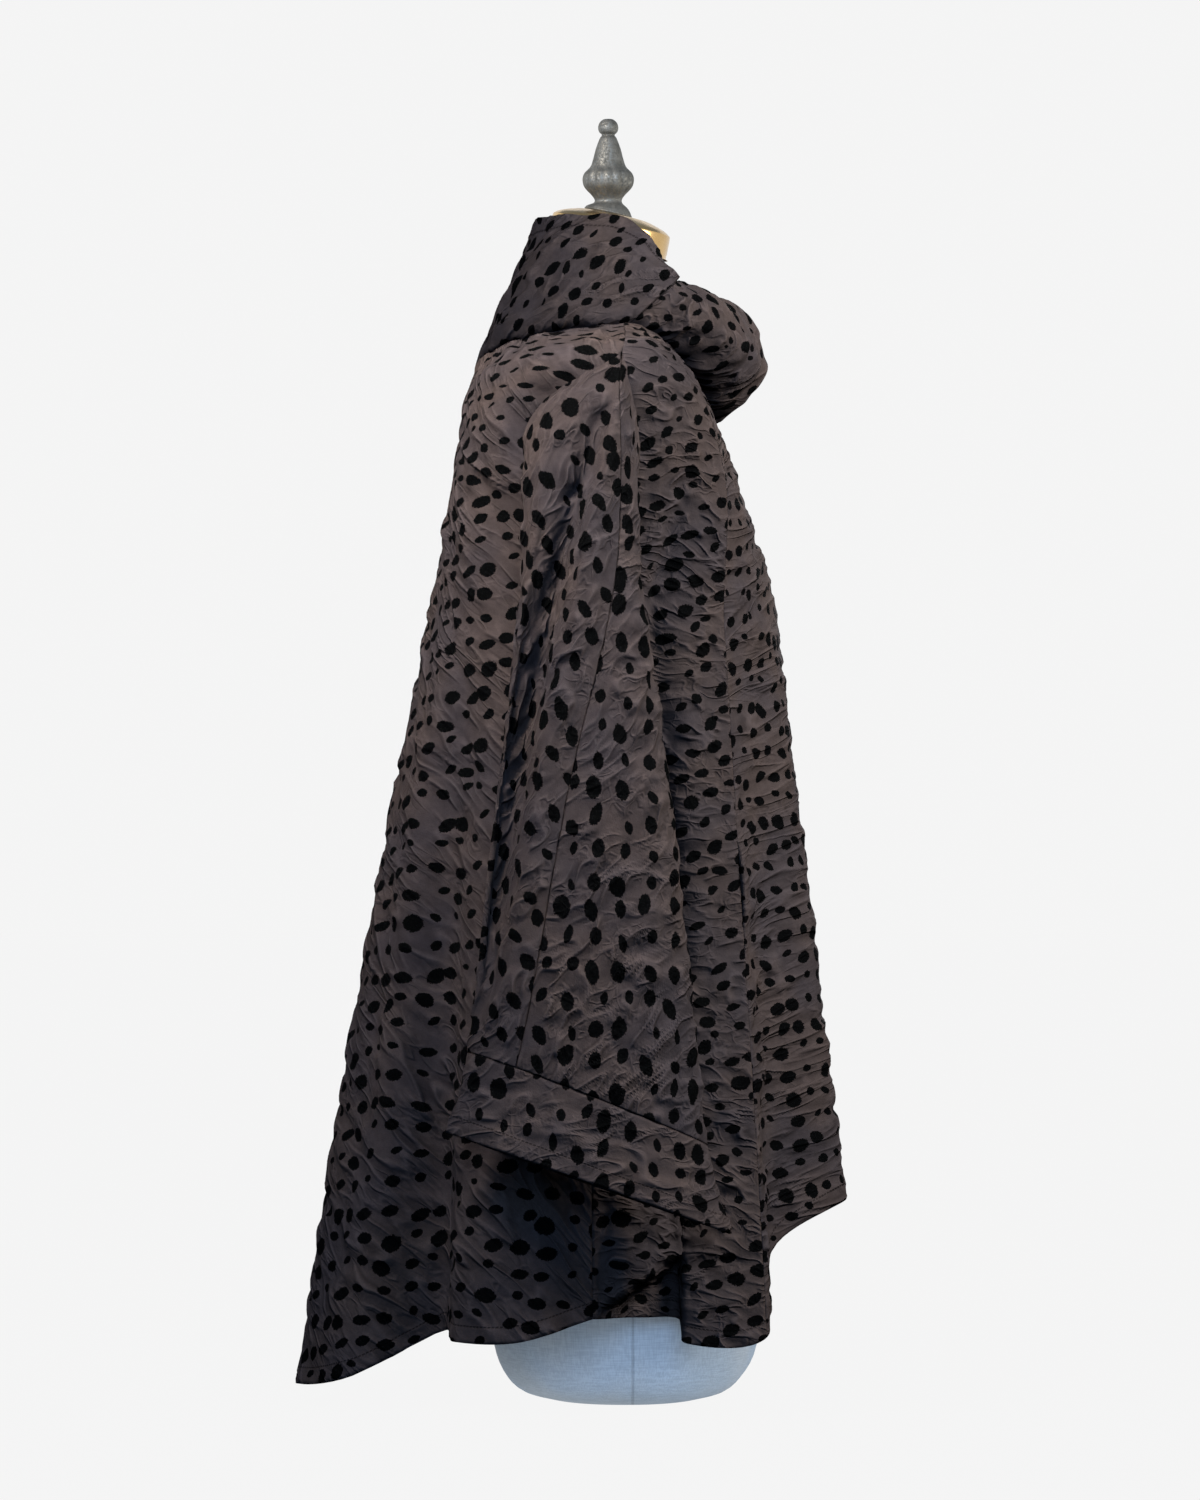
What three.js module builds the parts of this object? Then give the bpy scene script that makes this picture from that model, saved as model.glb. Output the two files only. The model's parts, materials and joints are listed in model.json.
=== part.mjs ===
// A knit poncho with a cowl collar and wide hanging sleeves, on a limbless dress form.
// Millimetres, +Z up. The front faces -Y, the wearer's right is -X, and the form's flat
// base rests on z = 0. The tables give one half, as distances from the middle plane, and
// both halves are made from them.
import * as THREE from "three";

const WALL = 2; // thickness of the puckered knit
const SEAM_GAP = 0.3; // clear space between two pieces where they are sewn
const EDGE_TIE = 0.3; // orders two edge corners that lie at one height
const BEND_STEPS = 2; // steps of a panel between two neighbouring fold lines

// Where the body's stages lie along the cloth, from neckline to hem.
const NECK = 0;
const SHOULDER = 0.11;
const ARMHOLE = 0.24;
const UNDERARM = 0.375;
const HEM = 1;
const SEAM_EASE = 0.3; // share of a panel over which it is eased to its neighbour's edge
const YOKE_STEPS = 3; // rows from neckline to shoulder point
const ARMHOLE_STEPS = 5; // rows from shoulder point to mid armhole, and again to underarm
const SKIRT_ROWS = [0.43, 0.5, 0.57, 0.62, 0.68, 0.74, 0.82, 0.91, HEM];
const POCKET_TOP = 0.57;
const POCKET_END = 0.74;

// A stage is a quarter ring: side is its point on the side edge, middle its point on the
// centre line, and power makes the quarter rounder (2) or squarer (more).
const frontStages = [
  { at: NECK, side: [112, 0, 858], middle: [0, -58, 776], power: 2 },
  { at: SHOULDER, side: [192, 2, 832], middle: [0, -80, 736], power: 2.2 },
  { at: ARMHOLE, side: [186, -8, 740], middle: [0, -104, 688], power: 2.2 },
  { at: UNDERARM, side: [181, 30, 612], middle: [0, -121, 636], power: 2 },
];
const backStages = [
  { at: NECK, side: [112, 0, 858], middle: [0, 118, 824], power: 2 },
  { at: SHOULDER, side: [192, 2, 832], middle: [0, 128, 792], power: 2.4 },
  { at: ARMHOLE, side: [172, 77, 768], middle: [0, 139, 716], power: 2.4 },
  { at: UNDERARM, side: [181, 30, 612], middle: [0, 154, 640], power: 2.4 },
];

// Fold lines run down the cloth to the hem: across is the place between the side seam (0)
// and the centre line (1), hem the point where the line ends.
const RIDGE = 0.5; // the seam with the pocket, along the fold that hangs from the bust
const frontFolds = [
  { line: "side seam", across: 0, hem: [222, 26, 75] },
  { line: "rising hem", across: 0.11, hem: [204, -12, 74] },
  { line: "hollow", across: 0.22, hem: [178, -43, 72] },
  { line: "drop fold, back", across: 0.34, hem: [198, -50, 54] },
  { line: "drop fold, ridge", across: RIDGE, hem: [182, -110, 58] },
  { line: "front valley", across: 0.64, hem: [142, -116, 124] },
  { line: "front lobe", across: 0.8, hem: [92, -174, 160] },
  { line: "centre front", across: 1, hem: [0, -160, 151] },
];
const backFolds = [
  { line: "side seam", across: 0, hem: [222, 26, 75] },
  { line: "side panel", across: 0.18, hem: [238, 82, 58] },
  { line: "side panel, back", across: 0.36, hem: [218, 132, 57] },
  { line: "back valley", across: 0.5, hem: [164, 143, 62] },
  { line: "back lobe, side", across: 0.64, hem: [180, 214, 28] },
  { line: "back lobe", across: 0.82, hem: [98, 259, 15] },
  { line: "centre back", across: 1, hem: [0, 240, 19] },
];
const BACK_BOW = 9; // how far the hanging back curves out between underarm and hem
const FRONT_BOW = -3;

// The collar's profile at stations round the neck, above the neckline it is sewn to. The
// front hangs out in a cowl and turns in over its crest.
const collarStages = ["low", "mid", "high", "crest", "rim"];
const collarSide = {
  across: 0,
  low: [120, -10, 864],
  mid: [115, -24, 877],
  high: [103, -36, 888],
  crest: [88, -44, 897],
  rim: [74, -38, 893],
};
const collarFront = [
  collarSide,
  {
    across: 0.25,
    low: [109, -36, 854],
    mid: [111, -60, 864],
    high: [99, -62, 882],
    crest: [77, -54, 892],
    rim: [58, -34, 886],
  },
  {
    across: 0.5,
    low: [82, -66, 822],
    mid: [90, -92, 840],
    high: [80, -84, 868],
    crest: [60, -64, 886],
    rim: [38, -34, 872],
  },
  {
    across: 1,
    low: [0, -86, 792],
    mid: [0, -113, 826],
    high: [0, -104, 864],
    crest: [0, -82, 882],
    rim: [0, -48, 868],
  },
];
const collarBack = [
  collarSide,
  {
    across: 0.12,
    low: [122, 14, 864],
    mid: [112, 10, 887],
    high: [94, 2, 914],
    crest: [80, -6, 931],
    rim: [71, -10, 940],
  },
  {
    across: 0.3,
    low: [116, 50, 862],
    mid: [104, 48, 890],
    high: [86, 42, 921],
    crest: [72, 36, 938],
    rim: [64, 33, 948],
  },
  {
    across: 0.65,
    low: [80, 99, 848],
    mid: [72, 91, 878],
    high: [58, 79, 911],
    crest: [48, 70, 934],
    rim: [43, 66, 947],
  },
  {
    across: 1,
    low: [0, 116, 839],
    mid: [0, 102, 872],
    high: [0, 88, 902],
    crest: [0, 76, 928],
    rim: [0, 70, 946],
  },
];
const COLLAR_ROWS = [0.13, 0.28, 0.44, 0.6, 0.75, 0.88, 1];

// Sections down the sleeve: the fold edges at back and front, and the middles of the
// faces turned out and in. The first section is the armhole itself.
const sleeveSections = [
  { at: 0.08, back: [196, 79, 738], out: [214, 7, 804], front: [207, -9, 722], in: [205, 31, 608] },
  { at: 0.25, back: [208, 80, 652], out: [233, 20, 700], front: [219, -12, 642], in: [213, 32, 552] },
  { at: 0.55, back: [227, 98, 482], out: [256, 28, 510], front: [236, -37, 468], in: [225, 32, 424] },
  { at: 0.83, back: [243, 122, 284], out: [275, 30, 253], front: [248, -64, 212], in: [238, 30, 244] },
  { at: 1, back: [250, 137, 222], out: [287, 26, 185], front: [255, -82, 144], in: [245, 26, 181] },
];
const CUFF_SEAM = 0.83;
const SLEEVE_ROWS = [0.05, 0.1, 0.17, 0.25, 0.34, 0.43, 0.53, 0.63, 0.73, CUFF_SEAM];
const CUFF_ROWS = [0.89, 0.95, 1];
const ARMHOLE_EASE = 0.3; // the stretch over which the armhole's own shape fades out
const OVERARM_AT_SHOULDER = 0.25; // place of the overarm seam round the sleeve
const OVERARM_AT_HEM = 0.113;
const overarmSwing = { by: 0.11, at: 0.25 }; // it swings to the front first, most of all at this place
const UNDERARM_SEAM = 0.75;
const sleeveValley = { from: 0.1, to: 0.8, start: 0.225, end: 0.05, width: 0.042, depth: 15 };

// The pocket lets into the ridge seam: its mouth gapes, and its bag lies inside the front.
const POCKET_GAPE = 9;
const POCKET_LIFT = 4;
const POCKET_DEPTH = 13;
const pocketBag = { top: 0.5, end: 0.82, reach: 0.8 };

// The dress form, from its flat base to the neck.
const FORM_SIDES = 40;
const FORM_POWER = 2.2;
const formRings = [
  { z: 0, halfWidth: 122, front: -66, back: 66 },
  { z: 4, halfWidth: 140, front: -82, back: 82 },
  { z: 14, halfWidth: 155, front: -94, back: 94 },
  { z: 32, halfWidth: 163, front: -105, back: 103 },
  { z: 60, halfWidth: 166, front: -110, back: 108 },
  { z: 120, halfWidth: 167, front: -110, back: 112 },
  { z: 200, halfWidth: 163, front: -104, back: 112 },
  { z: 280, halfWidth: 148, front: -92, back: 98 },
  { z: 350, halfWidth: 128, front: -80, back: 78 },
  { z: 410, halfWidth: 124, front: -76, back: 70 },
  { z: 480, halfWidth: 132, front: -84, back: 76 },
  { z: 560, halfWidth: 144, front: -98, back: 88 },
  { z: 630, halfWidth: 151, front: -108, back: 98 },
  { z: 690, halfWidth: 152, front: -92, back: 104 },
  { z: 740, halfWidth: 159, front: -70, back: 105 },
  { z: 780, halfWidth: 166, front: -48, back: 99 },
  { z: 810, halfWidth: 168, front: -36, back: 84 },
  { z: 832, halfWidth: 163, front: -28, back: 64 },
  { z: 844, halfWidth: 155, front: -24, back: 50 },
  { z: 848.6, halfWidth: 144, front: -22, back: 46 },
  { z: 852, halfWidth: 122, front: -22, back: 46 },
  { z: 855, halfWidth: 98, front: -24, back: 50 },
  { z: 862, halfWidth: 70, front: -28, back: 56 },
  { z: 880, halfWidth: 54, front: -30, back: 58 },
  { z: 926, halfWidth: 47, front: -33, back: 61 },
];
const NECK_CENTRE = 14; // of the neck's top, behind the form's middle
const NECK_TOP = 926;
const NECK_TILT = THREE.MathUtils.degToRad(12); // of the neck's top, down to the front
const TILT_FROM = 832; // the neck's rings tilt from this height up
const TURNED_SIDES = 32;
// The cap's outline: radius, and height above the neck's top.
const capProfile = [
  { radius: 46.5, height: 0.3 },
  { radius: 48.5, height: 1.5 },
  { radius: 48.5, height: 17 },
  { radius: 47, height: 20 },
  { radius: 43, height: 22.5 },
  { radius: 34, height: 25.6 },
  { radius: 25, height: 27.2 },
];
// The finial's outline: radius, and height above the cap.
const finialProfile = [
  { radius: 18, height: 0.3 },
  { radius: 18.6, height: 3 },
  { radius: 16, height: 6 },
  { radius: 11.6, height: 9 },
  { radius: 11.2, height: 12 },
  { radius: 14, height: 16 },
  { radius: 19, height: 22 },
  { radius: 20.4, height: 28 },
  { radius: 19, height: 33 },
  { radius: 14.6, height: 38 },
  { radius: 12.4, height: 44 },
  { radius: 10, height: 53 },
  { radius: 7, height: 61 },
  { radius: 5.2, height: 64 },
  { radius: 7.4, height: 66.5 },
  { radius: 8.2, height: 70 },
  { radius: 7, height: 74 },
  { radius: 3.6, height: 76.8 },
];
const FINIAL_UPRIGHT = 12; // height where the finial's rings lie level
const FINIAL_BACK = 4.5; // the finial stands this far behind the middle of the tilted cap

const paint = {
  knit: { color: 0x544a48, roughness: 0.92, metalness: 0 },
  linen: { color: 0x9fb0bf, roughness: 0.9, metalness: 0 },
  brass: { color: 0xb8a684, roughness: 0.28, metalness: 1 },
  pewter: { color: 0x8c8d8c, roughness: 0.42, metalness: 1 },
};

const clamp01 = (t) => Math.min(1, Math.max(0, t));
const easeIn = (t) => clamp01(t) * clamp01(t) * (3 - 2 * clamp01(t));

// A smooth curve through knots of uneven spacing. A mirrored one crosses the middle plane
// at its end, so it is level there.
function through(knots, points, t, mirrored = false) {
  const last = knots.length - 1;
  let k = 0;
  while (k < last - 1 && t > knots[k + 1]) k += 1;
  const span = knots[k + 1] - knots[k];
  const f = (t - knots[k]) / span;
  const slope = (i) => {
    const low = Math.max(0, i - 1);
    const high = Math.min(last, i + 1);
    const rise = points[high].clone().sub(points[low]).divideScalar(knots[high] - knots[low]);
    return mirrored && i === last ? rise.setComponent(1, 0).setComponent(2, 0) : rise;
  };
  const start = points[k].clone().multiplyScalar((1 + 2 * f) * (1 - f) ** 2);
  const end = points[k + 1].clone().multiplyScalar(f * f * (3 - 2 * f));
  start.addScaledVector(slope(k), span * f * (1 - f) ** 2);
  end.addScaledVector(slope(k + 1), span * f * f * (f - 1));
  return start.add(end);
}

const vector = (list) => new THREE.Vector3(...list);

// A quarter ring's point at a place from its side edge (0) to the centre line (1).
function quarter(stage, across) {
  const angle = (across * Math.PI) / 2;
  const side = vector(stage.side);
  const middle = vector(stage.middle);
  const out = Math.max(0, Math.cos(angle)) ** (2 / stage.power);
  const along = Math.sin(angle) ** (2 / stage.power);
  return new THREE.Vector3(
    side.x * out,
    side.y + (middle.y - side.y) * along,
    side.z + (middle.z - side.z) * (1 - Math.cos(angle)),
  );
}

// The body's surface on one half of the front or back.
function bodyPoint({ stages, folds, bow }, across, down) {
  const hems = folds.map((fold) => vector(fold.hem));
  const hem = through(folds.map((fold) => fold.across), hems, across, true);
  const knots = [...stages.map((stage) => stage.at), HEM];
  const points = [...stages.map((stage) => quarter(stage, across)), hem];
  const point = through(knots, points, down);
  const hung = clamp01((down - UNDERARM) / (HEM - UNDERARM));
  point.y += bow * across * 4 * hung * (1 - hung);
  return point;
}

// Front and back meet halfway along the shoulder and side seams, and part at the armhole.
function sewnPoint(across, down, own, other) {
  const point = bodyPoint(own, across, down);
  const atArmhole = down > SHOULDER && down < UNDERARM;
  if (atArmhole || across >= SEAM_EASE) return point;
  const edge = bodyPoint(own, 0, down);
  const facing = bodyPoint(other, 0, down);
  const fade = (1 - across / SEAM_EASE) ** 2;
  return point.addScaledVector(facing.sub(edge), fade / 2);
}
const frontHalf = { stages: frontStages, folds: frontFolds, bow: FRONT_BOW };
const backHalf = { stages: backStages, folds: backFolds, bow: BACK_BOW };
const frontPoint = (across, down) => sewnPoint(across, down, frontHalf, backHalf);
const backPoint = (across, down) => sewnPoint(across, down, backHalf, frontHalf);

// The collar's surface above the neckline.
function collarPoint(base, stations, across, up) {
  const places = stations.map((station) => station.across);
  const stageAt = (name) =>
    through(places, stations.map((s) => vector(s[name])), across, true);
  const points = [base, ...collarStages.map(stageAt)];
  return through(points.map((_, k) => k / collarStages.length), points, up);
}

// The armhole's edge, counted round the sleeve from 0.25 at the shoulder point down the
// front to 0.75 at the underarm, and up the back to 1.25.
function armholePoint(round) {
  const share = Math.abs(round - UNDERARM_SEAM) / 0.5;
  const lower = UNDERARM + (ARMHOLE - UNDERARM) * 2 * share;
  const upper = ARMHOLE + (SHOULDER - ARMHOLE) * (2 * share - 1);
  const down = share < 0.5 ? lower : upper;
  return round <= UNDERARM_SEAM ? frontPoint(0, down) : backPoint(0, down);
}
const armhole = {
  at: 0,
  back: armholePoint(1).toArray(),
  out: armholePoint(0.25).toArray(),
  front: armholePoint(0.5).toArray(),
  in: armholePoint(0.75).toArray(),
};
const sections = [armhole, ...sleeveSections];

// A flattened ring round the sleeve, with fold edges at back (0) and front (0.5).
function sleeveRing(down, round) {
  const places = sections.map((section) => section.at);
  const edge = (name) => through(places, sections.map((s) => vector(s[name])), down);
  const back = edge("back");
  const front = edge("front");
  const turn = ((round % 1) + 1) % 1;
  const face = turn < 0.5 ? edge("out") : edge("in");
  const chord = front.clone().sub(back);
  const share = face.clone().sub(back).dot(chord) / chord.lengthSq();
  const middle = back.clone().addScaledVector(chord, share);
  const angle = turn * 2 * Math.PI;
  const nearBack = Math.cos(angle) > 0;
  const fold = (nearBack ? back : front).clone().sub(middle);
  const point = middle.clone().addScaledVector(fold, Math.abs(Math.cos(angle)));
  return point.addScaledVector(face.sub(middle), Math.abs(Math.sin(angle)));
}

function sleevePoint(down, round) {
  const point = sleeveRing(down, round);
  const onEdge = ((round - OVERARM_AT_SHOULDER + 1) % 1) + OVERARM_AT_SHOULDER;
  const slip = armholePoint(onEdge).sub(sleeveRing(0, round));
  point.addScaledVector(slip, (1 - clamp01(down / ARMHOLE_EASE)) ** 2);
  const v = sleeveValley;
  const share = (down - v.from) / (v.to - v.from);
  const offset = ((round - v.start - (v.end - v.start) * share + 2.5) % 1) - 0.5;
  const depth = v.depth * Math.sin(Math.PI * clamp01(share)) ** 0.5;
  point.x -= depth * Math.exp(-((offset / v.width) ** 2));
  return point;
}

const overarm = (down) => {
  const swing = (down / overarmSwing.at) ** 2 * Math.exp(2 - (2 * down) / overarmSwing.at);
  const straight = OVERARM_AT_SHOULDER + (OVERARM_AT_HEM - OVERARM_AT_SHOULDER) * down;
  return straight + overarmSwing.by * swing;
};

// --- grids of points -----------------------------------------------------------------

// Places across a panel: the fold lines between two of them, with steps in between.
function placesBetween(folds, from, to) {
  const lines = folds.map((f) => f.across).filter((a) => a >= from && a <= to);
  const places = [];
  lines.slice(1).forEach((end, k) => {
    for (let i = 0; i < BEND_STEPS; i += 1)
      places.push(lines[k] + ((end - lines[k]) * i) / BEND_STEPS);
  });
  return [...places, to];
}

function bodyRows() {
  const rows = [];
  for (let i = 0; i < YOKE_STEPS; i += 1) rows.push((SHOULDER * i) / YOKE_STEPS);
  for (let i = 0; i < ARMHOLE_STEPS; i += 1)
    rows.push(SHOULDER + ((ARMHOLE - SHOULDER) * i) / ARMHOLE_STEPS);
  for (let i = 0; i <= ARMHOLE_STEPS; i += 1)
    rows.push(ARMHOLE + ((UNDERARM - ARMHOLE) * i) / ARMHOLE_STEPS);
  return [...rows, ...SKIRT_ROWS];
}

// Both halves of a piece that crosses the centre line: the right half, then the left.
const bothHalves = (places) => [
  ...places.map((across) => ({ across, side: -1 })),
  ...places.slice(0, -1).reverse().map((across) => ({ across, side: 1 })),
];

const onSide = (point, side) => {
  point.x *= side;
  return point;
};

// A grid of the cloth's points, in rows down it. Each gets the way out of the cloth too.
// A closed grid runs all round a tube. Its part is the body, collar or sleeve.
function makeGrid(part, rows, columns, pointAt, closed = false) {
  const cells = rows.map((row) => columns.map((column) => ({ p: pointAt(row, column) })));
  return { part, cells, closed };
}

function setNormals(grid, outward) {
  const { cells, closed } = grid;
  const height = cells.length;
  const width = cells[0].length;
  cells.forEach((row, j) => row.forEach((cell, i) => {
    const left = closed ? (i + width - 1) % width : Math.max(0, i - 1);
    const right = closed ? (i + 1) % width : Math.min(width - 1, i + 1);
    const above = cells[Math.max(0, j - 1)][i].p;
    const below = cells[Math.min(height - 1, j + 1)][i].p;
    const across = row[right].p.clone().sub(row[left].p);
    cell.n = across.cross(below.clone().sub(above)).normalize().multiplyScalar(outward);
  }));
}

// Where grids share a point they share the slant of their edge, the mean of the ways out
// of the parts that meet there, and each draws back from it by half the seam's gap.
function sewTogether(grids) {
  const shared = new Map();
  const key = (p) => p.toArray().map((c) => Math.round(c * 50)).join(" ");
  grids.forEach((grid) => grid.cells.flat().forEach((cell) => {
    const name = key(cell.p);
    if (!shared.has(name)) shared.set(name, []);
    shared.get(name).push({ grid, cell });
  }));
  const moves = [];
  grids.forEach((grid) => {
    const { cells, closed } = grid;
    const lastRow = cells.length - 1;
    const lastColumn = cells[0].length - 1;
    cells.forEach((row, j) => row.forEach((cell, i) => {
      const others = shared.get(key(cell.p)).filter((entry) => entry.grid !== grid);
      if (!others.length) return;
      const move = new THREE.Vector3();
      const towards = (other) => move.add(other.p.clone().sub(cell.p).normalize());
      if (j === 0) towards(cells[1][i]);
      if (j === lastRow) towards(cells[lastRow - 1][i]);
      if (!closed && i === 0) towards(row[1]);
      if (!closed && i === lastColumn) towards(row[lastColumn - 1]);
      moves.push([cell, move.multiplyScalar(SEAM_GAP / 2)]);
    }));
  });
  shared.forEach((entries) => {
    if (entries.length < 2) return;
    const ways = new Map();
    entries.forEach(({ grid, cell }) => {
      if (!ways.has(grid.part)) ways.set(grid.part, new THREE.Vector3());
      ways.get(grid.part).add(cell.n);
    });
    const mean = new THREE.Vector3();
    ways.forEach((way) => mean.add(way.normalize()));
    mean.normalize();
    entries.forEach(({ cell }) => { cell.n = mean; });
  });
  moves.forEach(([cell, move]) => cell.p.add(move));
}

// --- solids --------------------------------------------------------------------------

function named(name, geometry, look) {
  geometry.computeVertexNormals();
  const mesh = new THREE.Mesh(geometry, new THREE.MeshStandardMaterial(paint[look]));
  mesh.name = name;
  return mesh;
}

function closedGeometry(points, triangles) {
  let volume = 0;
  triangles.forEach(([a, b, c]) => {
    volume += points[a].dot(points[b].clone().cross(points[c]));
  });
  const order = volume < 0 ? triangles.map(([a, b, c]) => [a, c, b]) : triangles;
  return new THREE.BufferGeometry()
    .setFromPoints(points)
    .setIndex(order.flat());
}

// A wall of cloth: the grid's surface moved half the wall out and half in. Its edge strips
// are all split from their higher outer corner, so that two sewn edges lie face to face.
function clothWall(name, grid) {
  const { cells, closed } = grid;
  const height = cells.length;
  const width = cells[0].length;
  const flat = cells.flat();
  const face = (way) => flat.map(({ p, n }) => p.clone().addScaledVector(n, way));
  const points = [...face(WALL / 2), ...face(-WALL / 2)];
  const outer = (j, i) => j * width + (i % width);
  const inner = (j, i) => flat.length + outer(j, i);
  const triangles = [];
  const quad = (a, b, c, d) => triangles.push([a, b, c], [a, c, d]);
  const rank = (k) => flat[k].p.z + EDGE_TIE * flat[k].p.y;
  const edge = (a, b) => {
    const [innerA, innerB] = [a + flat.length, b + flat.length];
    if (rank(a) > rank(b)) quad(a, b, innerB, innerA);
    else quad(b, innerB, innerA, a);
  };
  const spans = closed ? width : width - 1;
  for (let j = 0; j < height - 1; j += 1)
    for (let i = 0; i < spans; i += 1) {
      quad(outer(j, i), outer(j + 1, i), outer(j + 1, i + 1), outer(j, i + 1));
      quad(inner(j, i), inner(j, i + 1), inner(j + 1, i + 1), inner(j + 1, i));
    }
  for (let i = 0; i < spans; i += 1) {
    edge(outer(0, i), outer(0, i + 1));
    edge(outer(height - 1, i + 1), outer(height - 1, i));
  }
  if (!closed)
    for (let j = 0; j < height - 1; j += 1) {
      edge(outer(j + 1, 0), outer(j, 0));
      edge(outer(j, width - 1), outer(j + 1, width - 1));
    }
  return named(name, closedGeometry(points, triangles), "knit");
}

// A closed loft through rings with the same number of points, capped flat at both ends.
function loft(rings) {
  const sides = rings[0].length;
  const points = rings.flat();
  const triangles = [];
  for (let j = 0; j < rings.length - 1; j += 1)
    for (let i = 0; i < sides; i += 1) {
      const next = (i + 1) % sides;
      triangles.push([j * sides + i, j * sides + next, (j + 1) * sides + next]);
      triangles.push([j * sides + i, (j + 1) * sides + next, (j + 1) * sides + i]);
    }
  const top = (rings.length - 1) * sides;
  for (let i = 1; i < sides - 1; i += 1) {
    triangles.push([0, i + 1, i]);
    triangles.push([top, top + i, top + i + 1]);
  }
  return closedGeometry(points, triangles);
}

// --- the pieces of the poncho ----------------------------------------------------------

const rows = bodyRows();

function frontPanels() {
  const sidePlaces = placesBetween(frontFolds, 0, RIDGE);
  const centrePlaces = placesBetween(frontFolds, RIDGE, 1);
  const onFront = (side) => (down, across) => onSide(frontPoint(across, down), side);
  const centreAt = (down, { across, side }) => {
    const point = frontPoint(across, down);
    if (across === RIDGE && down > POCKET_TOP && down < POCKET_END) {
      point.x -= POCKET_GAPE;
      point.y -= POCKET_LIFT;
    }
    return onSide(point, side);
  };
  const right = makeGrid("body", rows, sidePlaces, onFront(-1));
  const left = makeGrid("body", rows, sidePlaces, onFront(1));
  const centre = makeGrid("body", rows, bothHalves(centrePlaces), centreAt);
  setNormals(right, -1);
  setNormals(left, 1);
  setNormals(centre, -1);
  return { front_centre: centre, front_side_right: right, front_side_left: left };
}

function backPanel() {
  const places = bothHalves(placesBetween(backFolds, 0, 1));
  const grid = makeGrid("body", rows, places, (down, { across, side }) =>
    onSide(backPoint(across, down), side));
  setNormals(grid, 1);
  return { back: grid };
}

function collarPieces() {
  const upRows = [0, ...COLLAR_ROWS];
  const frontPlaces = bothHalves(placesBetween(frontFolds, 0, 1));
  const backPlaces = bothHalves(placesBetween(backFolds, 0, 1));
  const front = makeGrid("collar", upRows, frontPlaces, (up, { across, side }) =>
    onSide(collarPoint(frontPoint(across, NECK), collarFront, across, up), side));
  const back = makeGrid("collar", upRows, backPlaces, (up, { across, side }) =>
    onSide(collarPoint(backPoint(across, NECK), collarBack, across, up), side));
  setNormals(front, 1);
  setNormals(back, -1);
  return { collar_front: front, collar_back: back };
}

function sleevePieces(label, side) {
  const steps = Array.from({ length: 2 * ARMHOLE_STEPS + 1 }, (_, k) => k / (2 * ARMHOLE_STEPS));
  const frontRound = (down, share) =>
    overarm(down) + (UNDERARM_SEAM - overarm(down)) * share;
  const backRound = (down, share) =>
    UNDERARM_SEAM + (1 + overarm(down) - UNDERARM_SEAM) * share;
  const at = (roundAt) => (down, share) => onSide(sleevePoint(down, roundAt(down, share)), side);
  const front = makeGrid("sleeve", [0, ...SLEEVE_ROWS], steps, at(frontRound));
  const back = makeGrid("sleeve", [0, ...SLEEVE_ROWS], steps, at(backRound));
  const cuffColumns = [
    ...steps.slice(0, -1).map((share) => ({ share, roundAt: frontRound })),
    ...steps.slice(0, -1).map((share) => ({ share, roundAt: backRound })),
  ];
  const cuff = makeGrid("sleeve", [CUFF_SEAM, ...CUFF_ROWS], cuffColumns, (down, { share, roundAt }) =>
    at(roundAt)(down, share), true);
  [front, back, cuff].forEach((grid) => setNormals(grid, side));
  return {
    ["sleeve_front_" + label]: front,
    ["sleeve_back_" + label]: back,
    ["cuff_" + label]: cuff,
  };
}

// The pocket's bag is the front's own surface, moved in: close at its three sewn sides and
// deep in the middle, with its fourth side open at the mouth.
function pocketPieces(label, side) {
  const { top, end, reach } = pocketBag;
  const bagRows = rows.filter((down) => down >= top && down <= end);
  const fromRidge = placesBetween(frontFolds, RIDGE, reach);
  const places = side < 0 ? fromRidge : fromRidge.slice().reverse();
  const onFront = (down, across) => onSide(frontPoint(across, down), side);
  const surface = makeGrid("pocket", bagRows, places, onFront);
  setNormals(surface, -1);
  surface.cells.forEach((row, j) => row.forEach((cell, i) => {
    const down = Math.sin((Math.PI * j) / (bagRows.length - 1));
    const fromMouth = (places[i] - RIDGE) / (reach - RIDGE);
    const depth = POCKET_DEPTH * down * (1 - fromMouth) ** 0.5;
    cell.p.addScaledVector(cell.n, -(WALL + 2 * SEAM_GAP + depth));
  }));
  return { ["pocket_" + label]: surface };
}

// --- the dress form ----------------------------------------------------------------------

// A ring round the upright axis, tilted down to the front.
function tiltedRing(sides, centre, tilt, radiusAt) {
  return Array.from({ length: sides }, (_, k) => {
    const angle = (2 * Math.PI * k) / sides;
    const { x, y } = radiusAt(angle);
    return new THREE.Vector3(x, y * Math.cos(tilt), y * Math.sin(tilt)).add(centre);
  });
}

function formTorso() {
  const round = (value) => Math.sign(value) * Math.abs(value) ** (2 / FORM_POWER);
  const rings = formRings.map(({ z, halfWidth, front, back }) => {
    const tilt = NECK_TILT * easeIn((z - TILT_FROM) / (NECK_TOP - TILT_FROM));
    const centre = new THREE.Vector3(0, (front + back) / 2, z);
    return tiltedRing(FORM_SIDES, centre, tilt, (angle) => ({
      x: halfWidth * round(Math.cos(angle)),
      y: ((back - front) / 2) * round(Math.sin(angle)),
    }));
  });
  return named("form_torso", loft(rings), "linen");
}

const neckAxis = new THREE.Vector3(0, -Math.sin(NECK_TILT), Math.cos(NECK_TILT));
const neckTop = new THREE.Vector3(0, NECK_CENTRE, NECK_TOP);
const onCircle = (radius) => (angle) => ({
  x: radius * Math.cos(angle),
  y: radius * Math.sin(angle),
});

function formCap() {
  const rings = capProfile.map(({ radius, height }) =>
    tiltedRing(
      TURNED_SIDES,
      neckTop.clone().addScaledVector(neckAxis, height),
      NECK_TILT,
      onCircle(radius),
    ));
  return named("form_neck_cap", loft(rings), "brass");
}

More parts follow.
